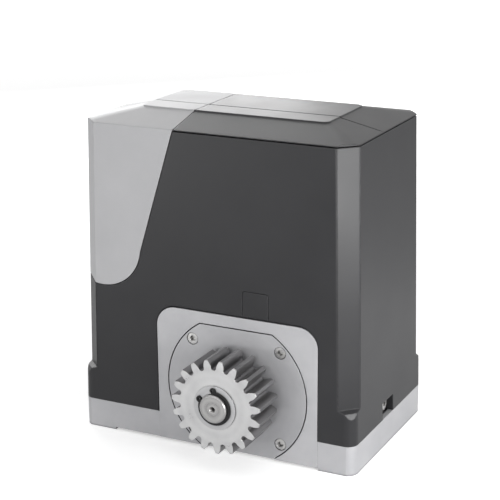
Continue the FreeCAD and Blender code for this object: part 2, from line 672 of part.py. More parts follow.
def makeFlange():
    body = newBody("gearbox_flange", onShaft, frontward)
    sketch = newSketch(body, "XY_Plane", "-flange_thickness")
    flattedDisc(sketch, "0", "0", "flange_radius", "flange_half_flat")
    pad(body, sketch, "flange_thickness")
    sketch = newSketch(body, "XY_Plane", "-flange_boss_depth")
    circle(sketch, "0", "0", "flange_boss_radius")
    pad(body, sketch, "flange_boss_depth - flange_thickness / 2")
    revolve(body, [
        ("0", "1"),
        ("seal_radius + seat_gap", "1"),
        ("seal_radius + seat_gap", "-seal_width - 0.5"),
        ("front_bearing_radius - 4", "-seal_width - 0.5"),
        ("front_bearing_radius - 4", f"-{frontBearing}"),
        ("front_bearing_radius + seat_gap", f"-{frontBearing}"),
        ("front_bearing_radius + seat_gap", "-flange_boss_depth - 1"),
        ("0", "-flange_boss_depth - 1"),
    ], "PartDesign::Groove")
    sketch = newSketch(body)
    for spot in flangeScrewPlaces():
        circle(sketch, *spot, "counterbore_radius")
    pocket(body, sketch, "screw_head_height + 0.5")
    sketch = newSketch(body)
    for spot in flangeScrewPlaces():
        circle(sketch, *spot, "screw_radius + air_gap")
    pocket(body, sketch, "flange_thickness")
    node(body)

    screws = newBody("flange_screws", onShaft, frontward)
    screws.AllowCompound = True
    under = "(screw_head_height + 0.5)"
    sketch = newSketch(screws, "XY_Plane", f"-{under} - screw_length")
    for spot in flangeScrewPlaces():
        circle(sketch, *spot, "screw_radius")
    pad(screws, sketch, "screw_length + 1")
    sketch = newSketch(screws, "XY_Plane", f"-{under}")
    for spot in flangeScrewPlaces():
        circle(sketch, *spot, "screw_head_radius")
    pad(screws, sketch, "screw_head_height")
    node(screws)

    node(turned("shaft_seal", [
        ("shaft_radius + running_fit", "-1.2"),
        ("shaft_radius + running_fit", "-2.4"),
        ("shaft_radius + 2", "-4"),
        ("seal_radius - 2", "-4"),
        ("seal_radius - 2", "-seal_width"),
        ("seal_radius", "-seal_width"),
        ("seal_radius", "0"),
        ("shaft_radius + 2", "-0.5"),
    ], onShaft, frontward))


def makeBearing(name, inner, outer, low, width, at, turn=upright):
    """A sealed ball bearing: the outer ring with its seals, and the inner ring."""
    ringWall = f"(({outer} - {inner}) / 3)"
    lip = f"{inner} + {ringWall} + air_gap"
    high = f"({low} + {width})"
    node(turned(name + "_outer_ring", [
        (lip, low),
        (outer, low),
        (outer, high),
        (lip, high),
    ], at, turn))
    return node(ring(name + "_inner_ring", inner, f"{inner} + {ringWall}", low, high, at, turn))


def makeOutputShaft():
    grooveLow = "(pinion_gap + pinion_width + washer_thickness)"
    grooveHigh = "(pinion_gap + pinion_width + washer_thickness + circlip_thickness + 0.1)"
    shaftEnd = "-(chamber_depth + bearing_width)"
    body = newBody("output_shaft", onShaft, frontward)
    revolve(body, [
        ("0", "shaft_reach - 5"),
        ("2.6", "shaft_reach"),
        ("shaft_radius - 1", "shaft_reach"),
        ("shaft_radius", "shaft_reach - 1"),
        ("shaft_radius", grooveHigh),
        ("groove_radius", grooveHigh),
        ("groove_radius", grooveLow),
        ("shaft_radius", grooveLow),
        ("shaft_radius", "-flange_boss_depth"),
        ("shaft_wheel_radius", "-flange_boss_depth"),
        ("shaft_wheel_radius", f"-{wheelBack} - air_gap"),
        ("shaft_collar_radius", f"-{wheelBack} - air_gap"),
        ("shaft_collar_radius", f"-{wheelBack} - 4"),
        ("shaft_rear_radius + 3", f"-{wheelBack} - 4"),
        ("shaft_rear_radius + 3", "-chamber_depth"),
        ("shaft_rear_radius", "-chamber_depth"),
        ("shaft_rear_radius", shaftEnd),
        ("shaft_bore_radius", shaftEnd),
        ("shaft_bore_radius", "-dog_depth + dog_travel + 2"),
        ("0", "-dog_depth + dog_travel + 2"),
    ])
    sketch = newSketch(body, "XZ_Plane", "-(shaft_radius - key_height / 2)")
    low, high = "pinion_gap + 2", "pinion_gap + 2 + key_length"
    rectangle(sketch, "-key_width / 2", "key_width / 2", low, high)
    pocket(body, sketch, "key_height")
    sketch = newSketch(body, "YZ_Plane", "shaft_wheel_radius + 1")
    pin = "(cross_pin_radius + 0.2)"
    middle = "(dog_depth + dog_length / 2)"
    rectangle(sketch, f"-{pin}", pin, f"-{middle} - {pin}", f"-{middle} + dog_travel + {pin}")
    pocket(body, sketch, "2 * shaft_wheel_radius + 2")
    node(body)

    key = newBody("pinion_key", onShaft, frontward)
    keyFloor = "(shaft_radius - key_height / 2)"
    sketch = newSketch(key, "XZ_Plane", f"-{keyFloor} - 0.05")
    rectangle(sketch, "-key_width / 2 + 0.05", "key_width / 2 - 0.05", f"{low} + 0.1", f"{high} - 0.1")
    pad(key, sketch, "key_height - 0.1", True)
    node(key)

    washerLow = "(pinion_gap + pinion_width)"
    node(ring("pinion_washer", "shaft_radius + running_fit", "washer_radius", washerLow,
              f"{washerLow} + washer_thickness", onShaft, frontward))


def makeCirclip():
    """An external circlip: a ring thickest opposite its gap, with an eyed lug on each side of it."""
    turnRound = frontward.multiply(Rotation(Vector(0, 0, 1), number("circlip_turn")))
    body = newBody("pinion_circlip", onShaft, turnRound)
    low = "(pinion_gap + pinion_width + washer_thickness)"
    sketch = newSketch(body, "XY_Plane", low)
    circle(sketch, "0", "-0.3", "circlip_radius - 0.3")
    pad(body, sketch, "circlip_thickness")
    lugX = "(circlip_lug * 0.45)"
    sketch = newSketch(body, "XY_Plane", low)
    circle(sketch, lugX, "circlip_lug * 0.76", "2.7")
    pad(body, sketch, "circlip_thickness")
    sketch = newSketch(body, "XY_Plane", low)
    circle(sketch, f"-{lugX}", "circlip_lug * 0.76", "2.7")
    pad(body, sketch, "circlip_thickness")
    sketch = newSketch(body, "XY_Plane", low)
    circle(sketch, "0", "0", "groove_radius + 0.05")
    pocket(body, sketch, "circlip_thickness", True)
    sketch = newSketch(body, "XY_Plane", low)
    rectangle(sketch, f"-{lugX} + 2", f"{lugX} - 2", "0", "2 * circlip_lug")
    pocket(body, sketch, "circlip_thickness", True)
    sketch = newSketch(body, "XY_Plane", low)
    circle(sketch, lugX, "circlip_lug * 0.78", "1.1")
    circle(sketch, f"-{lugX}", "circlip_lug * 0.78", "1.1")
    pocket(body, sketch, "circlip_thickness", True)
    node(body)


def gearOutline(module, teeth, thinning, phase):
    """A gear's outline in the plane: involute flanks, round tips and roots, a tooth at phase."""
    pressureAngle = math.radians(20)
    pitchRadius = module * teeth / 2
    baseRadius = pitchRadius * math.cos(pressureAngle)
    tipRadius = pitchRadius + module
    rootRadius = pitchRadius - 1.25 * module
    footRadius = max(baseRadius, rootRadius + 0.1 * module)

    def halfAngle(radius):
        """Half of the tooth's angular thickness at a radius."""
        opening = math.acos(min(1.0, baseRadius / radius))
        rolled = math.tan(pressureAngle) - pressureAngle - (math.tan(opening) - opening)
        return (math.pi / 2 - thinning / module) / teeth + rolled

    def spot(radius, angle):
        return Vector(radius * math.cos(angle), radius * math.sin(angle), 0)

    flankSteps = 2
    radii = [footRadius + (tipRadius - footRadius) * (step / flankSteps) for step in range(flankSteps + 1)]
    edges = []
    pitchAngle = 2 * math.pi / teeth
    for tooth in range(teeth):
        middle = phase + tooth * pitchAngle
        rising = [spot(radius, middle - halfAngle(radius)) for radius in radii]
        falling = [spot(radius, middle + halfAngle(radius)) for radius in reversed(radii)]
        following = spot(footRadius, middle + pitchAngle - halfAngle(footRadius))
        for points in (rising, falling):
            flank = Part.BSplineCurve()
            flank.interpolate(points)
            edges.append(flank.toShape())
        edges.append(Part.Arc(rising[-1], spot(tipRadius, middle), falling[0]).toShape())
        # the root: down the flank's line, then an arc that is tangent to the root circle
        valley = spot(rootRadius, middle + pitchAngle / 2)
        edges.append(Part.Arc(falling[-1], valley, following).toShape())
    return Part.Wire(Part.__sortEdges__(edges))


def makePinion():
    """The rack pinion, with its tips chamfered at both ends and a keyway in its bore."""
    width, bore = sizes["pinion_width"], number("shaft_radius + running_fit")
    tip = number("pinion_module * (pinion_teeth + 2) / 2")
    chamfer = sizes["tip_chamfer"]
    wire = gearOutline(sizes["pinion_module"], int(sizes["pinion_teeth"]), 0.1,
                       math.radians(90 - sizes["pinion_phase"]))
    blank = Part.Wire(Part.makePolygon([
        Vector(bore, 0, 0),
        Vector(tip - chamfer, 0, 0),
        Vector(tip + 0.1, 0, chamfer),
        Vector(tip + 0.1, 0, width - chamfer),
        Vector(tip - chamfer, 0, width),
        Vector(bore, 0, width),
        Vector(bore, 0, 0),
    ]))
    turnedBlank = Part.Face(blank).revolve(Vector(0, 0, 0), Vector(0, 0, 1), 360)
    teeth = Part.Face(wire).extrude(Vector(0, 0, width))
    keyTop = number("shaft_radius + key_height / 2 + 0.1")
    keyHalf = number("key_width / 2 + 0.05")
    keyway = Part.makeBox(2 * keyHalf, keyTop, width, Vector(-keyHalf, 0, 0))
    pinion = doc.addObject("Part::Feature", "pinion")
    pinion.Shape = teeth.common(turnedBlank).cut(keyway)
    place(pinion, ("shaft_x", f"{front} - pinion_gap", "shaft_height"), frontward)
    return node(pinion, "pinion")


def makeWormWheel():
    """The worm wheel: its teeth lean with the worm's lead. Its front face has the clutch's pockets."""
    width = sizes["wheel_width"]
    teeth = int(sizes["wheel_teeth"])
    lean = number(f"{wormPitch} / (2 * pi * worm_pitch_radius) / {wheelRadius}")  # radians per mm
    sections = []
    for end in (-width / 2, width / 2):
        section = gearOutline(sizes["worm_module"], teeth, sizes["mesh_clearance"], lean * end)
        section.translate(Vector(0, 0, end))
        sections.append(section)
    wheel = Part.makeLoft(sections, True, True)
    bore = number("shaft_wheel_radius + running_fit")
    wheel = wheel.cut(Part.makeCylinder(bore, width, Vector(0, 0, -width / 2)))
    depth = number("dog_bite + 0.8")
    for quarter in range(4):
        recess = Part.makeBox(8.2, 10.2, depth, Vector(bore + 0.9, -5.1, width / 2 - depth))
        wheel = wheel.cut(recess.rotate(Vector(0, 0, 0), Vector(0, 0, 1), 90 * quarter))
    piece = doc.addObject("Part::Feature", "worm_wheel")
    piece.Shape = wheel
    place(piece, ("shaft_x", wormY, "shaft_height"), frontward)
    return node(piece, "worm_wheel")


def makeClutch():
    """The dog that locks the wheel to the shaft, its cross pin, its spring and the push rod."""
    dog = newBody("clutch_dog", onShaft, frontward)
    ringEnd = "(dog_depth + dog_length)"
    revolve(dog, [
        ("shaft_wheel_radius + running_fit", f"-{ringEnd}"),
        ("dog_radius", f"-{ringEnd}"),
        ("dog_radius", "-dog_depth"),
        ("shaft_wheel_radius + running_fit", "-dog_depth"),
    ])
    reach = f"({wheelFront} + dog_bite)"
    sketch = newSketch(dog, "XY_Plane", f"-{reach}")
    for sign in ("", "-"):
        left, right = f"{sign}(shaft_wheel_radius + 1.2)", f"{sign}(dog_radius - 0.6)"
        rectangle(sketch, left, right, "-4.7", "4.7")
        rectangle(sketch, "-4.7", "4.7", left, right)
    pad(dog, sketch, f"{reach} - {ringEnd} + 1")
    sketch = newSketch(dog, "YZ_Plane", "dog_radius + 1")
    middle = "(dog_depth + dog_length / 2)"
    circle(sketch, "0", f"-{middle}", "cross_pin_radius + seat_gap")
    pocket(dog, sketch, "2 * dog_radius + 2")
    node(dog)

    pin = newBody("clutch_cross_pin", onShaft, frontward)
    sketch = newSketch(pin, "YZ_Plane", "-(dog_radius - 0.5)")
    circle(sketch, "0", f"-{middle}", "cross_pin_radius")
    pad(pin, sketch, "2 * dog_radius - 1")
    node(pin)

    rod = newBody("push_rod", onShaft, frontward)
    tip = f"({middle} + cross_pin_radius + air_gap)"
    sketch = newSketch(rod, "XY_Plane", f"-{tip}")
    circle(sketch, "0", "0", "rod_radius")
    pad(rod, sketch, f"{rear} * 2 - {tip} - (base_depth / 2 - lever_spindle_end) + 6", True)
    node(rod)


def makeRotor():
    """The rotor shaft with the worm cut on it, and the rotor."""
    body = newBody("worm_shaft", onWorm)
    root = "(worm_pitch_radius - 1.25 * worm_module)"
    bearingTop = "(worm_bearing_low + worm_bearing_width)"
    shaftTop = f"({housingHigh} + motor_shield_thickness - 3)"
    revolve(body, [
        ("0", "worm_bearing_low"),
        ("journal_radius", "worm_bearing_low"),
        ("journal_radius", bearingTop),
        (root, bearingTop),
        (root, f"{mainBearingLow} - 6"),
        ("rotor_shaft_radius + 2", f"{mainBearingLow} - 4"),
        ("rotor_shaft_radius + 2", mainBearingLow),
        ("rotor_shaft_radius", mainBearingLow),
        ("rotor_shaft_radius", f"{housingHigh} - 3"),
        ("top_journal_radius", f"{housingHigh} - 3"),
        ("top_journal_radius", shaftTop),
        ("0", shaftTop),
    ])
    sketch = newSketch(body, "XZ_Plane")
    start = f"(shaft_height - {wormPitch} * worm_turns / 2)"
    half = f"({wormPitch} / 4 - mesh_clearance)"
    rootHalf = f"({half} + flank_slope * (1.25 * worm_module + 0.3))"
    tipHalf = f"({half} - flank_slope * worm_module)"
    outline(sketch, [
        (f"{root} - 0.3", f"{start} - {rootHalf}"),
        ("worm_pitch_radius + worm_module", f"{start} - {tipHalf}"),
        ("worm_pitch_radius + worm_module", f"{start} + {tipHalf}"),
        (f"{root} - 0.3", f"{start} + {rootHalf}"),
    ])
    thread = body.newObject("PartDesign::AdditiveHelix", "WormThread")
    thread.Profile = sketch
    thread.ReferenceAxis = (sketch, ["V_Axis"])
    thread.Mode = "pitch-height-angle"
    thread.setExpression("Pitch", bound(wormPitch))
    thread.setExpression("Height", bound(f"{wormPitch} * worm_turns"))
    body.Tip = thread
    node(body)
    node(ring("rotor_core", "rotor_shaft_radius + seat_gap", "rotor_radius", stackLow, stackHigh, onWorm))


def makeMotor():
    """End shields, housing, stator and tie bolts of the vertical motor."""

    def shield(label, low, thickness, profile):
        body = newBody(label, onWorm)
        revolve(body, profile)
        sketch = newSketch(body, "XY_Plane", low)
        for spot in tieBoltPlaces():
            circle(sketch, *spot, "ear_radius")
        pad(body, sketch, thickness)
        sketch = newSketch(body, "XY_Plane", low)
        for spot in tieBoltPlaces():
            circle(sketch, *spot, "tie_bolt_radius + air_gap")
        pocket(body, sketch, thickness, True)
        node(body)

    spigot = "(motor_radius - motor_wall - 0.1)"
    shield("motor_flange", "tower_top", "motor_flange_thickness", [
        ("rotor_shaft_radius + 3", "tower_top"),
        ("motor_radius", "tower_top"),
        ("motor_radius", housingLow),
        (spigot, housingLow),
        (spigot, f"{housingLow} + 3"),
        (f"{spigot} - 4", f"{housingLow} + 3"),
        (f"{spigot} - 4", housingLow),
        ("rotor_shaft_radius + 3", housingLow),
    ])
    hub = "(top_bearing_radius + 3)"
    shield("motor_end_shield", housingHigh, "motor_shield_thickness", [
        ("0", f"{housingHigh} + motor_shield_thickness"),
        ("0", f"{housingHigh} + motor_shield_thickness - 2"),
        ("top_bearing_radius + seat_gap", f"{housingHigh} + motor_shield_thickness - 2"),
        ("top_bearing_radius + seat_gap", f"{housingHigh} - 4"),
        (hub, f"{housingHigh} - 4"),
        (hub, housingHigh),
        ("motor_radius", housingHigh),
        ("motor_radius", f"{housingHigh} + motor_shield_thickness - 3"),
        ("motor_radius - 3", f"{housingHigh} + motor_shield_thickness"),
    ])
    node(ring("motor_housing", "motor_radius - motor_wall", "motor_radius", housingLow, housingHigh, onWorm))
    stackOuter = "(motor_radius - motor_wall - seat_gap)"
    node(ring("stator_core", "rotor_radius + rotor_gap", stackOuter, stackLow, stackHigh, onWorm))
    coils = newBody("stator_windings", onWorm)
    coils.AllowCompound = True
    for low in (f"{stackLow} - coil_height", stackHigh):
        sketch = newSketch(coils, "XY_Plane", low)
        circle(sketch, "0", "0", "motor_radius - motor_wall - 4")
        circle(sketch, "0", "0", "rotor_radius + 4")
        pad(coils, sketch, "coil_height")
    node(coils)
    bolts = newBody("motor_tie_bolts", onWorm)
    bolts.AllowCompound = True
    top = f"({housingHigh} + motor_shield_thickness)"
    sketch = newSketch(bolts, "XY_Plane", "tower_top - motor_seat + 1")
    for spot in tieBoltPlaces():
        circle(sketch, *spot, "tie_bolt_radius")
    pad(bolts, sketch, f"{top} - tower_top + motor_seat - 1")
    sketch = newSketch(bolts, "XY_Plane", top)
    for spot in tieBoltPlaces():
        hexagon(sketch, *spot, "tie_bolt_radius * 1.85")
    pad(bolts, sketch, "tie_bolt_radius * 1.4")
    node(bolts)


def makeRelease():
    """Housing, lever and lock of the hand release, let into the back of the cover."""
    onRelease = ("shaft_x", rear, "shaft_height")
    floor = "(-release_inset - release_depth)"
    housing = newBody("release_housing", onRelease, rearward)
    sketch = newSketch(housing, "XY_Plane", floor)
    low = "(base_height + air_gap - shaft_height)"
    outline(sketch, [
        ("-release_radius", low),
        ("release_radius", low),
        ("release_radius", "0"),
        ("-release_radius", "0", "release_radius", 1),
    ])
    pad(housing, sketch, "release_depth")
    sketch = newSketch(housing, "XY_Plane", "-release_inset")
    circle(sketch, "0", "0", "release_radius - release_wall")
    pocket(housing, sketch, "release_depth - release_floor")
    sketch = newSketch(housing, "XY_Plane", floor)
    circle(sketch, "0", "0", "lever_spindle + running_fit")
    for spot in releaseScrewPlaces():
        circle(sketch, *spot, "release_screw_radius + air_gap")
    pocket(housing, sketch, "release_floor", True)
    dress(housing, "Fillet", "1", lambda edge: abs(edge.CenterOfMass.z + sizes["release_inset"]) < 0.01
          and len(edge.Vertexes) == 1)
    node(housing)

    lever = newBody("release_lever", onRelease, rearward)
    hubLow = f"({floor} + release_floor + air_gap)"
    gripLow = f"({hubLow} + 4)"
    spindleLow = f"(lever_spindle_end - {rear})"
    revolve(lever, [
        ("rod_radius + air_gap", f"{spindleLow} + air_gap"),
        ("lever_spindle", f"{spindleLow} + air_gap"),
        ("lever_spindle", hubLow),
        ("lever_width", hubLow),
        ("lever_width", f"{gripLow} + 1"),
        ("0", f"{gripLow} + 1"),
        ("0", f"{spindleLow} + 13"),
        ("rod_radius + air_gap", f"{spindleLow} + 13"),
    ])
    sketch = newSketch(lever, "XY_Plane", gripLow)
    slot(sketch, "0", "0", "lever_length", "lever_width")
    pad(lever, sketch, f"-release_inset - 2 - {gripLow}")
    dress(lever, "Fillet", "1.5", lambda edge: abs(edge.CenterOfMass.z + sizes["release_inset"] + 2) < 0.01)
    sketch = newSketch(lever, "XY_Plane", "-release_inset - 2")
    circle(sketch, "0", "0", "lock_radius + running_fit")
    pocket(lever, sketch, "7")
    node(lever)

    lock = newBody("lock_plug", onRelease, rearward)
    sketch = newSketch(lock, "XY_Plane", "-release_inset - 8.9")
    circle(sketch, "0", "0", "lock_radius")
    pad(lock, sketch, "6.7")
    sketch = newSketch(lock, "XY_Plane", "-release_inset - 2.2")
    rectangle(sketch, "-0.9", "0.9", "-2.8", "2.8")
    pocket(lock, sketch, "4")
    node(lock)

    screws = newBody("release_screws", onRelease, rearward)
    screws.AllowCompound = True
    under = f"({floor} + release_floor)"
    sketch = newSketch(screws, "XY_Plane", f"{under} - release_screw_length")
    for spot in releaseScrewPlaces():
        circle(sketch, *spot, "release_screw_radius")
    pad(screws, sketch, "release_screw_length + 1")
    sketch = newSketch(screws, "XY_Plane", under)
    for spot in releaseScrewPlaces():
        circle(sketch, *spot, "release_screw_radius * 1.9")
    pad(screws, sketch, "2.4")
    node(screws)


def makeControlGear():
    """Carrier with board and transformer, the capacitor in its clip, sensor and cable grommet."""
    carrier = newBody("board_carrier")
    wallBack = "(carrier_y + carrier_wall)"
    sketch = newSketch(carrier, "XY_Plane", floorTop)
    rectangle(sketch, "carrier_left", "carrier_right", "carrier_y", wallBack)
    pad(carrier, sketch, f"carrier_top - {floorTop}")
    sketch = newSketch(carrier, "XY_Plane", floorTop)
    rectangle(sketch, "carrier_left", "carrier_right", "carrier_y + 1", "carrier_y + 13")
    pad(carrier, sketch, "carrier_wall")
    sketch = newSketch(carrier, "XY_Plane", "shelf_z")
    rectangle(sketch, "carrier_left", "carrier_right", "shelf_front", "carrier_y + 1")
    pad(carrier, sketch, "carrier_wall")
    for x in ("carrier_left", "(carrier_right - carrier_wall)"):
        sketch = newSketch(carrier, "YZ_Plane", x)
        outline(sketch, [
            ("carrier_y + 1", "shelf_z - 22"),
            ("carrier_y + 1", "shelf_z + 1"),
            ("shelf_front + 12", "shelf_z + 1"),
        ])
        pad(carrier, sketch, "carrier_wall")
    standoffs = [(f"({x})", f"({z})") for x in ("carrier_left + 8", "carrier_right - 6")
                 for z in ("board_low + 6", "board_low + board_height - 6")]
    sketch = newSketch(carrier, "XZ_Plane", f"-{wallBack} + 1")
    for spot in standoffs:
        circle(sketch, *spot, "3")
    pad(carrier, sketch, "board_gap + 1", True)
    node(carrier)

    board = newBody("control_board")
    sketch = newSketch(board, "XZ_Plane", f"-{boardFace}")
    boardLeft, boardRight = "(carrier_left + 3)", "(carrier_right - 1)"
    rectangle(sketch, boardLeft, boardRight, "board_low", "board_low + board_height")
    pad(board, sketch, "board_thickness", True)
    node(board)

    onBoard = f"({boardFace} + board_thickness)"

    def boardParts(label, places, height):
        """Solids that stand on the board: each place is left, right, low and high."""
        parts = newBody(label)
        parts.AllowCompound = True
        sketch = newSketch(parts, "XZ_Plane", f"-{onBoard}")
        for spot in places:
            rectangle(sketch, *spot)
        pad(parts, sketch, height, True)
        return node(parts)

    low, high = "board_low", "board_low + board_height"
    boardParts("terminal_blocks", [
        (f"{boardLeft} + {start}", f"{boardLeft} + {start} + 28", f"{low} + 3", f"{low} + 13")
        for start in (3, 35)
    ], "10")
    boardParts("relays", [
        (f"{boardLeft} + {start}", f"{boardLeft} + {start} + 15", f"{high} - 34", f"{high} - 14")
        for start in (6, 26)
    ], "12")
    boardParts("setting_buttons", [
        (f"{boardLeft} + {start}", f"{boardLeft} + {start} + 6", f"{low} + 44", f"{low} + 50")
        for start in (10, 22, 34)
    ], "5")
    boardParts("processor", [(f"{boardLeft} + 22", f"{boardLeft} + 36", f"{low} + 62", f"{low} + 76")], "2")

    coreX = "((carrier_left + carrier_right) / 2 - core_x / 2)"
    coreY = "((shelf_front + carrier_y) / 2 - core_y / 2)"
    shelfTop = "(shelf_z + carrier_wall)"
    core = newBody("transformer_core", (coreX, coreY, shelfTop))
    sketch = newSketch(core, "XZ_Plane", "-core_y")
    rectangle(sketch, "0", "core_x", "0", "core_z")
    rectangle(sketch, "core_x / 6", "core_x / 3", "core_z / 6", "core_z * 5 / 6")
    rectangle(sketch, "core_x * 2 / 3", "core_x * 5 / 6", "core_z / 6", "core_z * 5 / 6")
    pad(core, sketch, "core_y")
    node(core)
    coil = newBody("transformer_coil", (coreX, coreY, shelfTop))
    coilLow, coilHigh = "(core_z / 6 + 0.1)", "(core_z * 5 / 6 - 0.1)"
    sketch = newSketch(coil, "XY_Plane", coilLow)
    left, right = "(core_x / 6 + 0.1)", "(core_x * 5 / 6 - 0.1)"
    rectangle(sketch, left, right, "-coil_overhang", "core_y + coil_overhang")
    rectangle(sketch, "core_x / 3 - 0.1", "core_x * 2 / 3 + 0.1", "-0.1", "core_y + 0.1")
    pad(coil, sketch, f"{coilHigh} - {coilLow}")
    node(coil)

    onFloor = ("capacitor_x", "capacitor_y", floorTop)
    node(turned("capacitor", [
        ("0", "2"),
        ("capacitor_radius", "2"),
        ("capacitor_radius", "capacitor_height - 1"),
        ("capacitor_radius - 1", "capacitor_height"),
        ("7", "capacitor_height"),
        ("7", "capacitor_height + 5"),
        ("0", "capacitor_height + 5"),
    ], onFloor))
    clip = newBody("capacitor_clip", onFloor)
    sketch = newSketch(clip)
    rectangle(sketch, "-capacitor_radius - 3", "capacitor_radius + 3", "-capacitor_radius - 3",
              "capacitor_radius + 3")
    pad(clip, sketch, "1.8")
    sketch = newSketch(clip)
    circle(sketch, "0", "0", "capacitor_radius + 2.2")
    pad(clip, sketch, "16")
    sketch = newSketch(clip, "XY_Plane", "1.8")
    circle(sketch, "0", "0", "capacitor_radius + 0.1")
    pocket(clip, sketch, "16", True)
    node(clip)

    sensor = newBody("limit_sensor", ("window_left + window_width / 2", f"{front} + 5", "upstand_top"))
    sketch = newSketch(sensor)
    rectangle(sketch, "-window_width / 2 + 1", "window_width / 2 - 1", "0", "9")
    pad(sensor, sketch, "window_height - 1")
    sketch = newSketch(sensor, "XZ_Plane", "0")
    circle(sketch, "0", "window_height / 2", "4")
    pocket(sensor, sketch, "1.5")
    node(sensor)

    grommet = newBody("cable_grommet", ("cable_x", "cable_y", floorTop))
    halves = ("cable_length / 2", "cable_width / 2")
    sketch = newSketch(grommet, "XY_Plane", "-floor_thickness")
    rectangle(sketch, f"-{halves[0]} + 0.1", f"{halves[0]} - 0.1", f"-{halves[1]} + 0.1", f"{halves[1]} - 0.1")
    pad(grommet, sketch, "floor_thickness + 1")
    sketch = newSketch(grommet, "XY_Plane", "0")
    rectangle(sketch, f"-{halves[0]} - 2", f"{halves[0]} + 2", f"-{halves[1]} - 2", f"{halves[1]} + 2")
    pad(grommet, sketch, "2")
    sketch = newSketch(grommet, "XY_Plane", "-floor_thickness")
    rectangle(sketch, f"-{halves[0]} + 3", f"{halves[0]} - 3", f"-{halves[1]} + 3", f"{halves[1]} - 3")
    pocket(grommet, sketch, "floor_thickness + 3", True)
    node(grommet)

    levellers = newBody("levelling_screws")
    levellers.AllowCompound = True
    sketch = newSketch(levellers)
    for a, b in fourCorners:
        circle(sketch, f"({a}slot_x)", f"({b}leveller_y)", "leveller_radius")
    pad(levellers, sketch, "leveller_length")
    node(levellers)


def makeCoverScrews():
    """The two screws that hold the cover. They stay in the lugs when the cover lifts off."""
    screws = newBody("cover_screws")
    screws.AllowCompound = True
    head = f"({lugFace} + pocket_wall + 2 * air_gap)"
    for side, reverse in (("", False), ("-", True)):
        for start, length, radius in (
            (f"({lugFace} - lug_thickness)", f"{head} - {lugFace} + lug_thickness", "screw_radius"),
            (head, "screw_head_height - 1.5", "screw_head_radius"),
        ):
            sketch = newSketch(screws, "YZ_Plane", f"{side}({start})")
            circle(sketch, "pocket_y", "cover_screw_z", radius)
            pad(screws, sketch, length, reverse)
    node(screws)


def coverSize(height, inset):
    """Half length and half width of the cover at a height. Its walls lean in towards the top."""
    rise = f"(({height} - {coverLow}) / (cover_top - {coverLow}))"
    halfX = f"(base_width / 2 - cover_draft_x * {rise} - {inset})"
    halfY = f"(base_depth / 2 - cover_draft_y * {rise} - {inset})"
    return halfX, halfY


def coverForm(inset="0"):
    """The cover's outer form, or the same form moved inwards by inset."""
    low = coverLow if inset == "0" else f"({coverLow} - 1)"
    top = f"({roofTop} - {inset})"
    rounded = []
    lipTop = f"(cover_top + roof_rise - {inset})"
    corner = f"(base_corner - {inset} * 0.9)"
    for height, halves, radius in (
        (low, coverSize(low, inset), corner),
        (f"(cover_top - {inset} * 0.9)", coverSize("cover_top", inset), corner),
        (lipTop, (f"(plateau_x - {inset})", f"(plateau_y - {inset})"), "plateau_corner"),
        (top, (f"(plateau_x - {inset} - 0.8)", f"(plateau_y - {inset} - 0.8)"), "(plateau_corner - 0.8)"),
    ):
        sketch = freeSketch("CoverSection", ("0", "0", height))
        roundedRectangle(sketch, *halves, radius)
        rounded.append(sketch)
    faceted = []
    lowBevel = "(base_corner * 0.5)"
    for height, bevelWidth in (
        (f"({coverLow} - 2)", lowBevel),
        ("ramp_low", lowBevel),
        ("(ramp_high - ledge_drop)", "ledge_bevel"),
        ("ramp_high", "bevel"),
        (f"({roofTop} + 2)", "bevel"),
    ):
        sketch = freeSketch("CoverFacets", ("0", "0", height))
        halfX, halfY = coverSize(height, inset)
        outline(sketch, [
            (f"{halfX} - {bevelWidth}", f"-{halfY}"),
            (halfX, f"-{halfY} + {bevelWidth}"),
            (halfX, f"{halfY} - {bevelWidth}"),
            (f"{halfX} - {bevelWidth}", halfY),
            (f"-{halfX} + {bevelWidth}", halfY),
            (f"-{halfX}", f"{halfY} - {bevelWidth}"),
            (f"-{halfX}", f"-{halfY} + {bevelWidth}"),
            (f"-{halfX} + {bevelWidth}", f"-{halfY}"),
        ])
        faceted.append(sketch)
    return boolean("Common", loft("CoverBlock", rounded), loft("CoverFacetBlock", faceted))


def capRegion(grow):
    """The end cap's share of the cover: straight edge, round edge and level edge, front to back."""
    sketch = freeSketch("CapOutline", ("0", "base_depth", "0"), frontward)
    outline(sketch, [
        (f"cap_seam_x + {grow}", f"{roofTop} + 5"),
        ("-base_width", f"{roofTop} + 5"),
        ("-base_width", f"cap_side_z - {grow}"),
        (f"cap_tip_x - bevel", f"cap_side_z - {grow}"),
        (f"cap_tip_x + {grow} * 0.1", f"cap_tip_z - {grow}"),
        (f"cap_bend_x + {grow}", f"cap_bend_z", f"cap_arc_radius + {grow}", 1),
        (f"cap_seam_x + {grow}", "cover_top"),
    ])
    return extrusion(sketch, Vector(0, -1, 0), "base_depth * 2")


def bevelGrooves():
    """Grooves along both edges of each flat, from the ramp to the top."""
    tools = []
    for a, b in fourCorners:
        for cutX, cutY in (("bevel", "0"), ("0", "bevel")):
            sections = []
            for height in ("ramp_high", "(cover_top + 1)"):
                halfX, halfY = coverSize(height, "0")
                x, y = f"{a}({halfX} - {cutX})", f"{b}({halfY} - {cutY})"
                sketch = freeSketch("BevelGroove", ("0", "0", height))
                outline(sketch, [
                    (f"{x} + bevel_groove", y),
                    (x, f"{y} + bevel_groove"),
                    (f"{x} - bevel_groove", y),
                    (x, f"{y} - bevel_groove"),
                ])
                sections.append(sketch)
            tools.append(loft("BevelGrooveTool", sections))
    return fuse(tools)


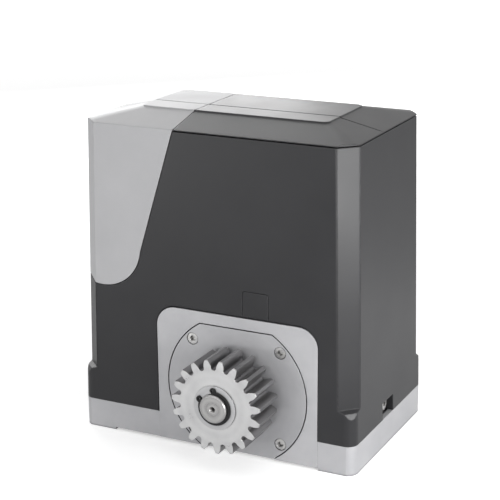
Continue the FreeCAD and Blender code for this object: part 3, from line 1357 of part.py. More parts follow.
def makeCover():
    """Four mouldings that lift off together: body, lid, end cap and the window's blanking plug."""
    skin = boolean("Cut", coverForm(), coverForm("cover_wall"))
    # walls of the pockets for the two cover screws
    blocks = []
    pocketHalf = "(pocket_width / 2)"
    inner = f"({lugFace} + air_gap)"
    for side in ("", "-"):
        near, far = (inner, "(base_width / 2 - 1)") if side == "" else ("(-base_width / 2 + 1)", f"(-{inner})")
        blocks.append(box(
            (near, f"(pocket_y - {pocketHalf} - pocket_wall)", coverLow),
            (far, f"(pocket_y + {pocketHalf} + pocket_wall)", "(pocket_top + pocket_wall)"),
        ))
    shell = fuse([skin] + blocks)
    cuts = []
    for side in ("", "-"):
        floorFace = f"({inner} + pocket_wall)"
        near, far = (floorFace, "base_width") if side == "" else ("-base_width", f"(-{floorFace})")
        cuts.append(box(
            (near, f"(pocket_y - {pocketHalf})", "0"),
            (far, f"(pocket_y + {pocketHalf})", "pocket_top"),
        ))
        sketch = freeSketch("ScrewNotch", (f"{side}{inner}", "0", "0"), screwward)
        notch = "(screw_radius + 0.6)"
        outline(sketch, [
            (f"pocket_y - {notch}", "0"),
            (f"pocket_y + {notch}", "0"),
            (f"pocket_y + {notch}", "cover_screw_z"),
            (f"pocket_y - {notch}", "cover_screw_z", notch, 1),
        ])
        cuts.append(extrusion(sketch, Vector(1, 0, 0), "pocket_wall + 1", "pocket_wall + 1"))
    # front cut-out round the upstand, window over it, and the arch round the release housing
    sketch = freeSketch("UpstandCutout", ("0", front, "0"), frontward)
    sides = (f"{upstandLow} - cutout_gap", f"{upstandHigh} + air_gap")
    arch(sketch, *sides, "0", "upstand_top + cutout_gap", "(upstand_corner + cutout_gap)")
    cuts.append(extrusion(sketch, Vector(0, 1, 0), "cover_wall * 5", "5"))
    sketch = freeSketch("WindowCutout", ("0", front, "0"), frontward)
    windowHigh = "(upstand_top + cutout_gap + window_height)"
    arch(sketch, "window_left", "(window_left + window_width)", "upstand_top", windowHigh, "window_corner")
    cuts.append(extrusion(sketch, Vector(0, 1, 0), "cover_wall * 5", "5"))
    sketch = freeSketch("ReleaseCutout", ("0", rear, "0"), frontward)
    half = "(release_radius + cutout_gap / 2)"
    outline(sketch, [
        (f"shaft_x - {half}", "0"),
        (f"shaft_x + {half}", "0"),
        (f"shaft_x + {half}", "shaft_height"),
        (f"shaft_x - {half}", "shaft_height", half, 1),
    ])
    cuts.append(extrusion(sketch, Vector(0, -1, 0), "cover_wall * 5", "5"))
    # the groove along the roof
    strip = box(
        ("(-base_width)", "(roof_groove_y - roof_groove_width / 2)", "(cover_top + 0.2)"),
        ("base_width", "(roof_groove_y + roof_groove_width / 2)", f"({roofTop} + 5)"),
    )
    cuts.append(boolean("Cut", strip, coverForm("roof_groove_depth")))
    shell = boolean("Cut", shell, fuse(cuts))
    # split into the mouldings, with a joint line between them
    node(boolean("Common", shell, capRegion("0")), "end_cap")
    rest = boolean("Cut", shell, capRegion("seam"))
    above = ("base_width", "base_depth", f"({roofTop} + 5)")
    lidRegion = box(("(-base_width)", "(-base_depth)", "(cover_top - 0.5)"), above)
    node(boolean("Common", rest, lidRegion), "cover_lid")
    lidGap = box(("(-base_width)", "(-base_depth)", "(cover_top - 0.5 - lid_seam)"), above)
    node(boolean("Cut", boolean("Cut", rest, lidGap), bevelGrooves()), "cover_body")
    # the blanking plug fills the window
    sketch = freeSketch("PlugOutline", ("0", front, "0"), frontward)
    arch(sketch, "(window_left + window_gap)", "(window_left + window_width - window_gap)",
         "(upstand_top + cutout_gap)", f"({windowHigh} - window_gap)", "(window_corner - window_gap)")
    plug = boolean("Common", skin, extrusion(sketch, Vector(0, 1, 0), "cover_wall * 5", "5"))
    node(plug, "window_plug")


def makeClutchSpring():
    """Holds the dog in the wheel; a coil between the front bearing and the dog."""
    spring = newBody("clutch_spring", onShaft, frontward)
    sketch = newSketch(spring, "XZ_Plane")
    wire = "spring_wire"
    near = "(shaft_wheel_radius + 1)"
    low = "(-dog_depth + 0.1)"
    rectangle(sketch, near, f"{near} + {wire}", low, f"{low} + {wire}")
    coil = spring.newObject("PartDesign::AdditiveHelix", "Coil")
    coil.Profile = sketch
    coil.ReferenceAxis = (sketch, ["V_Axis"])
    coil.Mode = "height-turns-angle"
    coil.setExpression("Height", bound(f"dog_depth - flange_boss_depth - {wire} - 0.2"))
    coil.Turns = 3
    spring.Tip = coil
    node(spring)


makeBaseCasting()
makeFlange()
makeOutputShaft()
makeCirclip()
makePinion()
makeWormWheel()
makeClutch()
makeClutchSpring()
makeRotor()
makeMotor()
makeRelease()
makeControlGear()
makeCoverScrews()
makeCover()
makeBearing("front_bearing", "shaft_radius", "front_bearing_radius", "-flange_boss_depth",
            "bearing_width", onShaft, frontward)
makeBearing("rear_bearing", "shaft_rear_radius", "rear_bearing_radius",
            "(-chamber_depth - bearing_width)", "bearing_width", onShaft, frontward)
makeBearing("worm_bearing", "journal_radius", "worm_bore_radius", "worm_bearing_low",
            "worm_bearing_width", onWorm)
makeBearing("main_bearing", "rotor_shaft_radius", "main_bearing_radius", mainBearingLow,
            "bearing_width", onWorm)
makeBearing("top_bearing", "top_journal_radius", "top_bearing_radius", f"({housingHigh} - 3)",
            "11", onWorm)
doc.recompute()

for item in doc.Objects:
    if "Invalid" in item.State or "Error" in item.State:
        raise RuntimeError(f"{item.Label} did not build: {item.State}")
for piece in nodes:
    if piece.Shape.isNull() or not piece.Shape.isValid():
        raise RuntimeError(f"{piece.Label} has no valid shape")
for piece in nodes:
    piece.Shape.exportStep(f"parts/{piece.Label}.step")
print(len(nodes), "sub-parts written")
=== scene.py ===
import bpy
import json
from math import cos, pi, radians
from mathutils import Matrix, Vector


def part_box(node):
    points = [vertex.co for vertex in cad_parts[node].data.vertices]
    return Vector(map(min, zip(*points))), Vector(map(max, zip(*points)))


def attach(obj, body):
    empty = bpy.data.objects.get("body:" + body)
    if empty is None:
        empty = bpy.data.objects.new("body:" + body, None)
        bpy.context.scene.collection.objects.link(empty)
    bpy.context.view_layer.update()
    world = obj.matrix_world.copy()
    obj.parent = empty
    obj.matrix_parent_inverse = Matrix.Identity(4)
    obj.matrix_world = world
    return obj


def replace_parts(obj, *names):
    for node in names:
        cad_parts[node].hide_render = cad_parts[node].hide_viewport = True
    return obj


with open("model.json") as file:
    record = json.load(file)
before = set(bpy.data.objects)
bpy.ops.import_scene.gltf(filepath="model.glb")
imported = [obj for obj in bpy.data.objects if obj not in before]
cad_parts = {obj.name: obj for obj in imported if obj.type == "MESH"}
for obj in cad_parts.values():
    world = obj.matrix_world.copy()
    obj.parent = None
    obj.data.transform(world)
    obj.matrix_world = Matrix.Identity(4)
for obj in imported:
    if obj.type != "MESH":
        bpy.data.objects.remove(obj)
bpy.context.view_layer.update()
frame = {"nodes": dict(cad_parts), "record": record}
nodes = frame["nodes"]
print("frame loaded:", len(nodes), "nodes")

mm = 0.001
creaseAngle = radians(30)    # edges sharper than this stay sharp


def deselect():
    bpy.ops.object.select_all(action="DESELECT")


def choose(obj):
    deselect()
    obj.select_set(True)
    bpy.context.view_layer.objects.active = obj


camera = {
    "azimuth": 26.5,      # degrees round the object, from the front towards +x
    "elevation": 17.16,
    "roll": -0.5,
    "distance": 1.361,    # metres from the middle of the footprint
    "right": -0.0044,
    "up": 0.1529,
    "lens": 105.98,
    "sensor": 36,
    "clip": (0.05, 50),
}


def addCamera():
    bpy.ops.object.camera_add()
    obj = bpy.context.object
    turn = Matrix.Rotation(radians(camera["azimuth"]), 4, "Z")
    turn = turn @ Matrix.Rotation(radians(90 - camera["elevation"]), 4, "X")
    turn = turn @ Matrix.Rotation(radians(camera["roll"]), 4, "Z")
    obj.matrix_world = turn @ Matrix.Translation((camera["right"], camera["up"], camera["distance"]))
    obj.data.lens = camera["lens"]
    obj.data.sensor_width = camera["sensor"]
    obj.data.clip_start, obj.data.clip_end = camera["clip"]
    bpy.context.scene.camera = obj


addCamera()
print("camera placed")


# small helpers for the material nodes

def addNode(tree, kind, sockets=None, **settings):
    node = tree.nodes.new(kind)
    for name, value in settings.items():
        setattr(node, name, value)
    for name, value in (sockets or {}).items():
        node.inputs[name].default_value = value
    return node


def link(tree, source, target):
    tree.links.new(source, target)


def setOrLink(tree, value, socket):
    if isinstance(value, (int, float, tuple)):
        socket.default_value = value
    else:
        link(tree, value, socket)


def calculate(tree, operation, first, second=None):
    node = addNode(tree, "ShaderNodeMath", operation=operation)
    setOrLink(tree, first, node.inputs[0])
    if second is not None:
        setOrLink(tree, second, node.inputs[1])
    return node.outputs[0]


def mapRange(tree, value, fromLow, fromHigh, toLow, toHigh):
    node = addNode(tree, "ShaderNodeMapRange", {
        "From Min": fromLow,
        "From Max": fromHigh,
        "To Min": toLow,
        "To Max": toHigh,
    })
    link(tree, value, node.inputs["Value"])
    return node.outputs["Result"]


def mixColour(tree, factor, first, second):
    node = addNode(tree, "ShaderNodeMix", data_type="RGBA")
    setOrLink(tree, factor, node.inputs[0])
    setOrLink(tree, first, node.inputs[6])
    setOrLink(tree, second, node.inputs[7])
    return node.outputs[2]


def mixShare(tree, first, second, share):
    kept = calculate(tree, "MULTIPLY", first, 1 - share)
    return calculate(tree, "ADD", kept, calculate(tree, "MULTIPLY", second, share))


def newGroup(name, inputs, outputs):
    group = bpy.data.node_groups.new(name, "ShaderNodeTree")
    for label, kind, value in inputs:
        socket = group.interface.new_socket(name=label, in_out="INPUT", socket_type=kind)
        if value is not None:
            socket.default_value = value
    for label, kind in outputs:
        group.interface.new_socket(name=label, in_out="OUTPUT", socket_type=kind)
    return group, group.nodes.new("NodeGroupInput"), group.nodes.new("NodeGroupOutput")


def useGroup(tree, group, sockets):
    node = addNode(tree, "ShaderNodeGroup", node_tree=group)
    for name, value in sockets.items():
        setOrLink(tree, value, node.inputs[name])
    return node


def shade(red, green, blue):    # a colour as a picture program shows it, 0 to 255
    def straight(value):
        value = value / 255
        return value / 12.92 if value <= 0.04045 else ((value + 0.055) / 1.055) ** 2.4
    return (straight(red), straight(green), straight(blue), 1)


# effects that the materials share; their sizes are in millimetres

effects = {
    "grain": {"Detail": 2, "Roughness": 0.6},
    "patches": {"Detail": 5, "Roughness": 0.6},
    "patchSpan": (0.3, 0.7),            # noise that becomes 0 and 1
    "edgeLean": (0.995, 0.9),           # where an edge begins and where it is full
    "chips": {"Scale": 160, "Detail": 4},
    "chipSpan": (0.35, 0.6, 0.35, 1),
    "dustLean": (0.3, 1),               # how far a face looks up to hold dust
    "dust": {"Scale": 35, "Detail": 6, "Roughness": 0.7},
    "wavePeriod": 314,                  # a wave texture's scale for lines 1 mm apart
    "fineRings": {"Distortion": 0.4, "Detail": 1},
    "broadRings": {"Distortion": 2.5, "Detail": 2},
    "broadShare": 0.13,                 # scale of the broad rings against the fine ones
    "stack": {"Distortion": 0.25, "Detail": 1},
    "openSpan": (0.35, 0.8),            # openness that counts as a crevice, and as none, for the painted shade
    "facingSpan": (0.6, 0.95),
}


def makeGrainGroup():    # fine grain for bump, and slow patches for colour and gloss
    group, start, end = newGroup("surfaceGrain", [
        ("Vector", "NodeSocketVector", None),
        ("Grain Size", "NodeSocketFloat", 0.5),
        ("Patch Size", "NodeSocketFloat", 60),
    ], [("Height", "NodeSocketFloat"), ("Patch", "NodeSocketFloat")])
    fine = addNode(group, "ShaderNodeTexNoise", effects["grain"])
    slow = addNode(group, "ShaderNodeTexNoise", effects["patches"])
    for texture, size in ((fine, "Grain Size"), (slow, "Patch Size")):
        link(group, start.outputs["Vector"], texture.inputs["Vector"])
        link(group, calculate(group, "DIVIDE", 1 / mm, start.outputs[size]), texture.inputs["Scale"])
    link(group, fine.outputs[0], end.inputs["Height"])
    link(group, mapRange(group, slow.outputs[0], *effects["patchSpan"], 0, 1), end.inputs["Patch"])
    return group


def makeWearGroup():    # a mask along sharp edges, broken up by noise
    group, start, end = newGroup("edgeWear", [
        ("Vector", "NodeSocketVector", None),
        ("Width", "NodeSocketFloat", 0.6),
    ], [("Mask", "NodeSocketFloat")])
    rounded = addNode(group, "ShaderNodeBevel", samples=4)
    link(group, calculate(group, "MULTIPLY", start.outputs["Width"], mm), rounded.inputs["Radius"])
    flat = addNode(group, "ShaderNodeNewGeometry")
    dot = addNode(group, "ShaderNodeVectorMath", operation="DOT_PRODUCT")
    link(group, rounded.outputs[0], dot.inputs[0])
    link(group, flat.outputs["Normal"], dot.inputs[1])
    edge = mapRange(group, dot.outputs["Value"], *effects["edgeLean"], 0, 1)
    chips = addNode(group, "ShaderNodeTexNoise", effects["chips"])
    link(group, start.outputs["Vector"], chips.inputs["Vector"])
    broken = mapRange(group, chips.outputs[0], *effects["chipSpan"])
    link(group, calculate(group, "MULTIPLY", edge, broken), end.inputs["Mask"])
    return group


def makeDustGroup():    # a mask on faces that look up, in soft patches
    group, start, end = newGroup("settledDust", [
        ("Vector", "NodeSocketVector", None),
    ], [("Mask", "NodeSocketFloat")])
    surface = addNode(group, "ShaderNodeNewGeometry")
    parts = addNode(group, "ShaderNodeSeparateXYZ")
    link(group, surface.outputs["Normal"], parts.inputs[0])
    upward = mapRange(group, parts.outputs["Z"], *effects["dustLean"], 0, 1)
    patches = addNode(group, "ShaderNodeTexNoise", effects["dust"])
    link(group, start.outputs["Vector"], patches.inputs["Vector"])
    link(group, calculate(group, "MULTIPLY", upward, patches.outputs[0]), end.inputs["Mask"])
    return group


def makeRingsGroup():    # turning marks: rings round the vector's y axis, and their sheen
    group, start, end = newGroup("turningMarks", [
        ("Vector", "NodeSocketVector", None),
        ("Spacing", "NodeSocketFloat", 0.4),
    ], [("Height", "NodeSocketFloat"), ("Band", "NodeSocketFloat")])
    fine = addNode(group, "ShaderNodeTexWave", effects["fineRings"],
                   wave_type="RINGS", rings_direction="Y")
    broad = addNode(group, "ShaderNodeTexWave", effects["broadRings"],
                    wave_type="RINGS", rings_direction="Y")
    scale = calculate(group, "DIVIDE", effects["wavePeriod"], start.outputs["Spacing"])
    link(group, scale, fine.inputs["Scale"])
    link(group, calculate(group, "MULTIPLY", scale, effects["broadShare"]), broad.inputs["Scale"])
    for rings in (fine, broad):
        link(group, start.outputs["Vector"], rings.inputs["Vector"])
    link(group, fine.outputs["Fac"], end.inputs["Height"])
    link(group, broad.outputs["Fac"], end.inputs["Band"])
    return group


def makeLinesGroup():    # stacked sheets or wound wire: lines across the vector's z axis
    group, start, end = newGroup("stackedLines", [
        ("Vector", "NodeSocketVector", None),
        ("Spacing", "NodeSocketFloat", 0.5),
    ], [("Height", "NodeSocketFloat")])
    lines = addNode(group, "ShaderNodeTexWave", effects["stack"],
                    wave_type="BANDS", bands_direction="Z")
    link(group, start.outputs["Vector"], lines.inputs["Vector"])
    scale = calculate(group, "DIVIDE", effects["wavePeriod"], start.outputs["Spacing"])
    link(group, scale, lines.inputs["Scale"])
    link(group, lines.outputs["Fac"], end.inputs["Height"])
    return group


def makePaintedShadeGroup():    # a mask in gaps, roots and holes, where painted shade darkens the colour
    group, start, end = newGroup("paintedCreviceShade", [
        ("Reach", "NodeSocketFloat", 3),
    ], [("Mask", "NodeSocketFloat")])
    clear = addNode(group, "ShaderNodeAmbientOcclusion", samples=6)
    link(group, calculate(group, "MULTIPLY", start.outputs["Reach"], mm), clear.inputs["Distance"])
    link(group, mapRange(group, clear.outputs["AO"], *effects["openSpan"], 1, 0), end.inputs["Mask"])
    return group


def makeFlankShadeGroup():    # 1 on faces that look along the y axis, 0 on those round it, which get a painted shade
    group, start, end = newGroup("facingAlongAxis", [], [("Mask", "NodeSocketFloat")])
    surface = addNode(group, "ShaderNodeNewGeometry")
    parts = addNode(group, "ShaderNodeSeparateXYZ")
    link(group, surface.outputs["Normal"], parts.inputs[0])
    facing = calculate(group, "ABSOLUTE", parts.outputs["Y"])
    link(group, mapRange(group, facing, *effects["facingSpan"], 0, 1), end.inputs["Mask"])
    return group


grainGroup = makeGrainGroup()
wearGroup = makeWearGroup()
dustGroup = makeDustGroup()
ringsGroup = makeRingsGroup()
linesGroup = makeLinesGroup()
paintedShadeGroup = makePaintedShadeGroup()
flankShadeGroup = makeFlankShadeGroup()


usual = {    # what a finish has unless it says otherwise; sizes in millimetres
    "metallic": 0,
    "specular": 0.5,
    "grain": 0.5,
    "patch": 60,
    "bump": 0.02,
    "edge": 0.5,
    "wear": 0.3,
    "dust": 0.08,
    "dustColour": shade(170, 166, 160),
    "dustRoughness": 0.4,
    # painted shade: the next two entries set how strongly and how dark the colour is painted in gaps, roots
    # and holes
    "paintedShade": 0.6,
    "paintedShadeColour": shade(20, 20, 21),
    "reach": 3,             # how far a crevice looks for its walls, for the painted shade
    "ringShare": 0.3,       # of the rings in the colour's patches
    "lineShare": 0.5,
    "lineGrain": 0.3,       # of the grain that stays between lines
    "centre": (0, 0, 0),
    "turn": (0, 0, 0),
}


def newMaterial(name, given):
    finish = {**usual, **given}
    material = bpy.data.materials.new(name)
    material.use_nodes = True
    tree = material.node_tree
    shader = tree.nodes["Principled BSDF"]
    shader.inputs["Metallic"].default_value = finish["metallic"]
    shader.inputs["Specular IOR Level"].default_value = finish["specular"]
    place = addNode(tree, "ShaderNodeTexCoord").outputs["Object"]
    if "centre" in given or "turn" in given:
        mapping = addNode(tree, "ShaderNodeMapping", {
            "Location": Vector(finish["centre"]) * -mm,
            "Rotation": [radians(angle) for angle in finish["turn"]],
        })
        link(tree, place, mapping.inputs["Vector"])
        place = mapping.outputs[0]
    grain = useGroup(tree, grainGroup, {
        "Vector": place,
        "Grain Size": finish["grain"],
        "Patch Size": finish["patch"],
    })
    patch = grain.outputs["Patch"]
    height = grain.outputs["Height"]
    if "rings" in finish:
        rings = useGroup(tree, ringsGroup, {"Vector": place, "Spacing": finish["rings"]})
        height = calculate(tree, "ADD", height, rings.outputs["Height"])
        patch = mixShare(tree, patch, rings.outputs["Band"], finish["ringShare"])
    if "lines" in finish:
        lines = useGroup(tree, linesGroup, {"Vector": place, "Spacing": finish["lines"]})
        height = calculate(tree, "MULTIPLY", height, finish["lineGrain"])
        height = calculate(tree, "ADD", height, lines.outputs["Height"])
        patch = mixShare(tree, patch, lines.outputs["Height"], finish["lineShare"])
    wear = useGroup(tree, wearGroup, {"Vector": place, "Width": finish["edge"]})
    dust = useGroup(tree, dustGroup, {"Vector": place})
    colour = mixColour(tree, patch, finish["colour"], finish["second"])
    # painted shade: faces round the y axis, the pinion's tooth flanks, take a darker colour
    if "flank" in finish:
        facing = useGroup(tree, flankShadeGroup, {})
        colour = mixColour(tree, facing.outputs["Mask"], finish["flank"], colour)
    worn = calculate(tree, "MULTIPLY", wear.outputs["Mask"], finish["wear"])
    colour = mixColour(tree, worn, colour, finish.get("edgeColour", finish["second"]))
    dusty = calculate(tree, "MULTIPLY", dust.outputs["Mask"], finish["dust"])
    colour = mixColour(tree, dusty, colour, finish["dustColour"])
    # painted shade: the colour goes darker in gaps, roots and holes, found by ambient occlusion
    paintedShadeNode = useGroup(tree, paintedShadeGroup, {"Reach": finish["reach"]})
    paintedShadeAmount = calculate(tree, "MULTIPLY", paintedShadeNode.outputs["Mask"], finish["paintedShade"])
    colour = mixColour(tree, paintedShadeAmount, colour, finish["paintedShadeColour"])
    link(tree, colour, shader.inputs["Base Color"])
    rough = mapRange(tree, patch, 0, 1, *finish["roughness"])
    dulled = calculate(tree, "MULTIPLY", dusty, finish["dustRoughness"])
    link(tree, calculate(tree, "ADD", rough, dulled), shader.inputs["Roughness"])
    bump = addNode(tree, "ShaderNodeBump", {"Strength": 1, "Distance": finish["bump"] * mm})
    link(tree, height, bump.inputs["Height"])
    soft = addNode(tree, "ShaderNodeBevel", {"Radius": finish["edge"] * mm}, samples=4)
    link(tree, soft.outputs[0], bump.inputs["Normal"])
    link(tree, bump.outputs[0], shader.inputs["Normal"])
    return material


def findShaftCentre():    # the pinion's axis runs along y through here, in millimetres
    low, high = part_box("pinion_washer")
    middle = (low + high) / 2 / mm
    return (middle.x, 0, middle.z)


shaftCentre = findShaftCentre()


# in each finish the crevice strength and reach set painted shade in gaps, roots and holes
finishes = {
    "cover_dark": {"colour": shade(38, 38, 40), "second": shade(43, 43, 45), "roughness": (0.36, 0.42),
                   "specular": 0.32, "grain": 0.55, "bump": 0.035, "edge": 1.3, "wear": 0.35,
                   "edgeColour": shade(84, 83, 86), "dust": 0.03, "paintedShade": 0.9, "reach": 1.6},
    "cap_silver": {"colour": shade(174, 174, 176), "second": shade(181, 181, 183), "metallic": 0.05,
                   "roughness": (0.42, 0.5), "specular": 0.32, "grain": 0.5, "bump": 0.02, "edge": 1.2,
                   "edgeColour": shade(205, 205, 207), "paintedShade": 0.95, "reach": 1.6},
    "cast_aluminium": {"colour": shade(174, 174, 177), "second": shade(186, 186, 188), "metallic": 0.35,
                       "roughness": (0.48, 0.58), "grain": 0.7, "bump": 0.035, "edge": 0.8, "patch": 35,
                       "edgeColour": shade(225, 225, 226), "wear": 0.4, "paintedShade": 0.85},
    "machined_aluminium": {"colour": shade(166, 166, 169), "second": shade(182, 182, 184), "metallic": 0.5,
                           "roughness": (0.40, 0.48), "grain": 0.6, "bump": 0.012, "edge": 0.4,
                           "edgeColour": shade(222, 222, 224), "rings": 0.9, "ringShare": 0.08,
                           "centre": shaftCentre, "paintedShade": 0.9},
    "zinc_screws": {"colour": shade(186, 186, 188), "second": shade(204, 203, 200), "metallic": 1,
                    "roughness": (0.24, 0.34), "grain": 0.3, "bump": 0.006, "edge": 0.2, "patch": 8,
                    "paintedShade": 0.9, "reach": 2},
    "rubber_black": {"colour": shade(30, 30, 30), "second": shade(37, 37, 37), "roughness": (0.7, 0.8),
                     "grain": 0.4, "bump": 0.02, "edge": 0.5},
    "bearing_steel": {"colour": shade(190, 190, 192), "second": shade(200, 200, 200), "metallic": 1,
                      "roughness": (0.15, 0.25), "grain": 0.3, "bump": 0.003, "edge": 0.3},
    "shaft_steel": {"colour": shade(158, 157, 157), "second": shade(184, 183, 182), "metallic": 0.95,
                    "roughness": (0.24, 0.36), "grain": 0.3, "bump": 0.006, "edge": 0.3, "rings": 0.8,
                    "edgeColour": shade(226, 226, 226), "centre": shaftCentre, "ringShare": 0.6,
                    "paintedShade": 0.9},
    # the pinion's darker flank colour is painted shade on its tooth flanks
    "pinion_steel": {"colour": shade(196, 196, 197), "second": shade(214, 214, 214), "metallic": 0.85,
                     "flank": shade(134, 133, 134), "ringShare": 0.25, "paintedShade": 0.7,
                     "roughness": (0.26, 0.38), "grain": 0.3, "bump": 0.006, "edge": 0.35, "rings": 1.1,
                     "edgeColour": shade(236, 236, 236), "wear": 0.5, "centre": shaftCentre,
                     "patch": 25},
    "washer_steel": {"colour": shade(180, 180, 182), "second": shade(200, 200, 201), "metallic": 0.9,
                     "roughness": (0.28, 0.36), "grain": 0.3, "bump": 0.005, "edge": 0.25, "rings": 0.7,
                     "paintedShade": 0.9, "centre": shaftCentre},
    "black_oxide": {"colour": shade(22, 22, 23), "second": shade(32, 32, 33), "metallic": 0.4,
                    "roughness": (0.35, 0.45), "grain": 0.3, "bump": 0.006, "edge": 0.2, "patch": 6},
    "wheel_bronze": {"colour": shade(176, 126, 62), "second": shade(158, 108, 52), "metallic": 1,
                     "roughness": (0.3, 0.42), "grain": 0.4, "bump": 0.008, "edge": 0.3, "patch": 20},
    "lamination_steel": {"colour": shade(78, 78, 82), "second": shade(128, 128, 132), "metallic": 0.7,
                         "roughness": (0.4, 0.6), "grain": 0.5, "bump": 0.08, "edge": 0.3, "lines": 0.9},
    "copper_winding": {"colour": shade(122, 52, 22), "second": shade(196, 104, 52), "metallic": 0.7,
                       "roughness": (0.26, 0.4), "grain": 0.8, "bump": 0.3, "edge": 1.2, "lines": 1.1},
    "motor_paint": {"colour": shade(34, 34, 36), "second": shade(40, 40, 42), "roughness": (0.35, 0.45),
                    "grain": 1.2, "bump": 0.04, "edge": 0.6, "edgeColour": shade(120, 120, 122)},
    "housing_grey": {"colour": shade(88, 88, 90), "second": shade(94, 94, 96), "roughness": (0.42, 0.5),
                     "grain": 0.5, "bump": 0.03, "edge": 0.5, "edgeColour": shade(130, 130, 132)},
    "lever_dark": {"colour": shade(36, 36, 38), "second": shade(42, 42, 44), "roughness": (0.38, 0.46),
                   "grain": 0.5, "bump": 0.03, "edge": 0.5, "edgeColour": shade(90, 90, 92)},
    "lock_brass": {"colour": shade(190, 180, 152), "second": shade(204, 194, 170), "metallic": 1,
                   "roughness": (0.2, 0.3), "grain": 0.3, "bump": 0.004, "edge": 0.2, "patch": 4},
    "carrier_plastic": {"colour": shade(120, 121, 124), "second": shade(128, 129, 132),
                        "roughness": (0.45, 0.52), "grain": 0.5, "bump": 0.02, "edge": 0.4},
    "capacitor_white": {"colour": shade(206, 205, 200), "second": shade(216, 215, 211),
                        "roughness": (0.22, 0.3), "grain": 0.6, "bump": 0.004, "edge": 0.5},
    "clip_plastic": {"colour": shade(28, 28, 29), "second": shade(33, 33, 34), "roughness": (0.4, 0.5),
                     "grain": 0.5, "bump": 0.015, "edge": 0.4},
    "board_green": {"colour": shade(18, 84, 44), "second": shade(30, 112, 62), "roughness": (0.22, 0.32),
                    "grain": 1.5, "bump": 0.02, "edge": 0.2, "patch": 6, "lines": 2.5},
    "terminal_green": {"colour": shade(54, 150, 86), "second": shade(62, 162, 96),
                       "roughness": (0.35, 0.42), "grain": 0.5, "bump": 0.01, "edge": 0.4},
    "relay_black": {"colour": shade(30, 30, 32), "second": shade(35, 35, 37), "roughness": (0.3, 0.38),
                    "grain": 0.4, "bump": 0.01, "edge": 0.3},
}

materials = {name: newMaterial(name, finish) for name, finish in finishes.items()}
standingStack = newMaterial("transformer_laminations",
                            {**finishes["lamination_steel"], "turn": (90, 0, 0)})
print("materials made:", len(materials))


def finishNodes():
    slotOf = {part["node"]: part["material_slot"] for part in frame["record"]["subparts"]}
    for name, obj in nodes.items():
        obj.data.materials.clear()
        obj.data.materials.append(materials[slotOf[name]])
        choose(obj)
        bpy.ops.object.shade_smooth_by_angle(angle=creaseAngle)
    nodes["transformer_core"].data.materials[0] = standingStack


finishNodes()
print("nodes finished")


# small helpers for modelling

def editFaces(obj, wanted):    # leaves the object in edit mode with the wanted faces selected
    choose(obj)
    bpy.ops.object.mode_set(mode="EDIT")
    bpy.ops.mesh.select_mode(type="FACE")
    bpy.ops.mesh.select_all(action="DESELECT")
    bpy.ops.object.mode_set(mode="OBJECT")
    for face in obj.data.polygons:
        face.select = wanted(face)
    bpy.ops.object.mode_set(mode="EDIT")


def editAll(obj):
    choose(obj)
    bpy.ops.object.mode_set(mode="EDIT")
    bpy.ops.mesh.select_all(action="SELECT")


def leaveEdit():
    bpy.ops.object.mode_set(mode="OBJECT")


straightOn = 0.9    # a face looks along an axis when its normal has more of it than this


def looksUp(face):
    return face.normal.z > straightOn


def looksDown(face):
    return face.normal.z < -straightOn


def looksUpOrDown(face):
    return abs(face.normal.z) > straightOn


def looksBack(face):
    return face.normal.y > straightOn


def extrudeBy(x, y, z):
    bpy.ops.mesh.extrude_region_move(TRANSFORM_OT_translate={"value": (x, y, z)})


def extrudeOut(distance):    # along the faces' own normals
    bpy.ops.mesh.extrude_region_shrink_fatten(TRANSFORM_OT_shrink_fatten={"value": distance})


def roundRim(obj, width, steps=2, wanted=looksUp):
    editFaces(obj, wanted)
    bpy.ops.mesh.bevel(offset=width, segments=steps, affect="EDGES")
    leaveEdit()


def sinkTop(obj, radius, rim, depth):    # the wide face at the top goes down inside a rim
    editFaces(obj, lambda face: looksUp(face) and face.area > radius ** 2)
    bpy.ops.mesh.inset(thickness=rim)
    extrudeBy(0, 0, -depth)
    leaveEdit()


def cutWith(obj, tool):
    modifier = obj.modifiers.new("cut", "BOOLEAN")
    modifier.operation = "DIFFERENCE"
    modifier.object = tool
    choose(obj)
    bpy.ops.object.modifier_apply(modifier="cut")
    bpy.data.objects.remove(tool)


def addBar(sides, radius, low, high):    # stands from low to high on the z axis
    deselect()
    bpy.ops.mesh.primitive_cylinder_add(vertices=sides, radius=radius, depth=high - low,
                                        location=(0, 0, (low + high) / 2))
    bpy.ops.object.transform_apply(location=True, rotation=True, scale=True)
    return bpy.context.object


def addBlock(low, high):
    deselect()
    low, high = Vector(low), Vector(high)
    bpy.ops.mesh.primitive_cube_add(size=1, location=(low + high) / 2)
    bpy.context.object.scale = high - low
    bpy.ops.object.transform_apply(location=True, rotation=True, scale=True)
    return bpy.context.object


def softenEdges(obj, width, steps=2):
    modifier = obj.modifiers.new("soften", "BEVEL")
    modifier.width = width
    modifier.segments = steps
    modifier.limit_method = "ANGLE"
    modifier.angle_limit = creaseAngle
    choose(obj)
    bpy.ops.object.modifier_apply(modifier="soften")


def copyPiece(obj, place):
    twin = obj.copy()
    twin.data = obj.data.copy()
    twin.matrix_world = place
    bpy.context.collection.objects.link(twin)
    return twin


def joinPieces(pieces):
    choose(pieces[0])
    for piece in pieces[1:]:
        piece.select_set(True)
    if len(pieces) > 1:
        bpy.ops.object.join()
    return bpy.context.object


def finishPiece(obj, name, body, slot):    # its place goes into its mesh
    choose(obj)
    bpy.ops.object.transform_apply(location=True, rotation=True, scale=True)
    bpy.ops.object.shade_smooth_by_angle(angle=creaseAngle)
    obj.name = name
    obj.data.name = name
    obj.data.materials.clear()
    obj.data.materials.append(materials[slot])
    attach(obj, body)
    return obj


def placeCopies(model, places):    # one object of all the copies; the model itself goes
    copies = [copyPiece(model, place) for place in places]
    bpy.data.objects.remove(model)
    return joinPieces(copies)


def at(x, y, z, turn=None, spin=0):
    shift = Matrix.Translation((x, y, z))
    return shift @ (turn or Matrix.Identity(4)) @ Matrix.Rotation(radians(spin), 4, "Z")


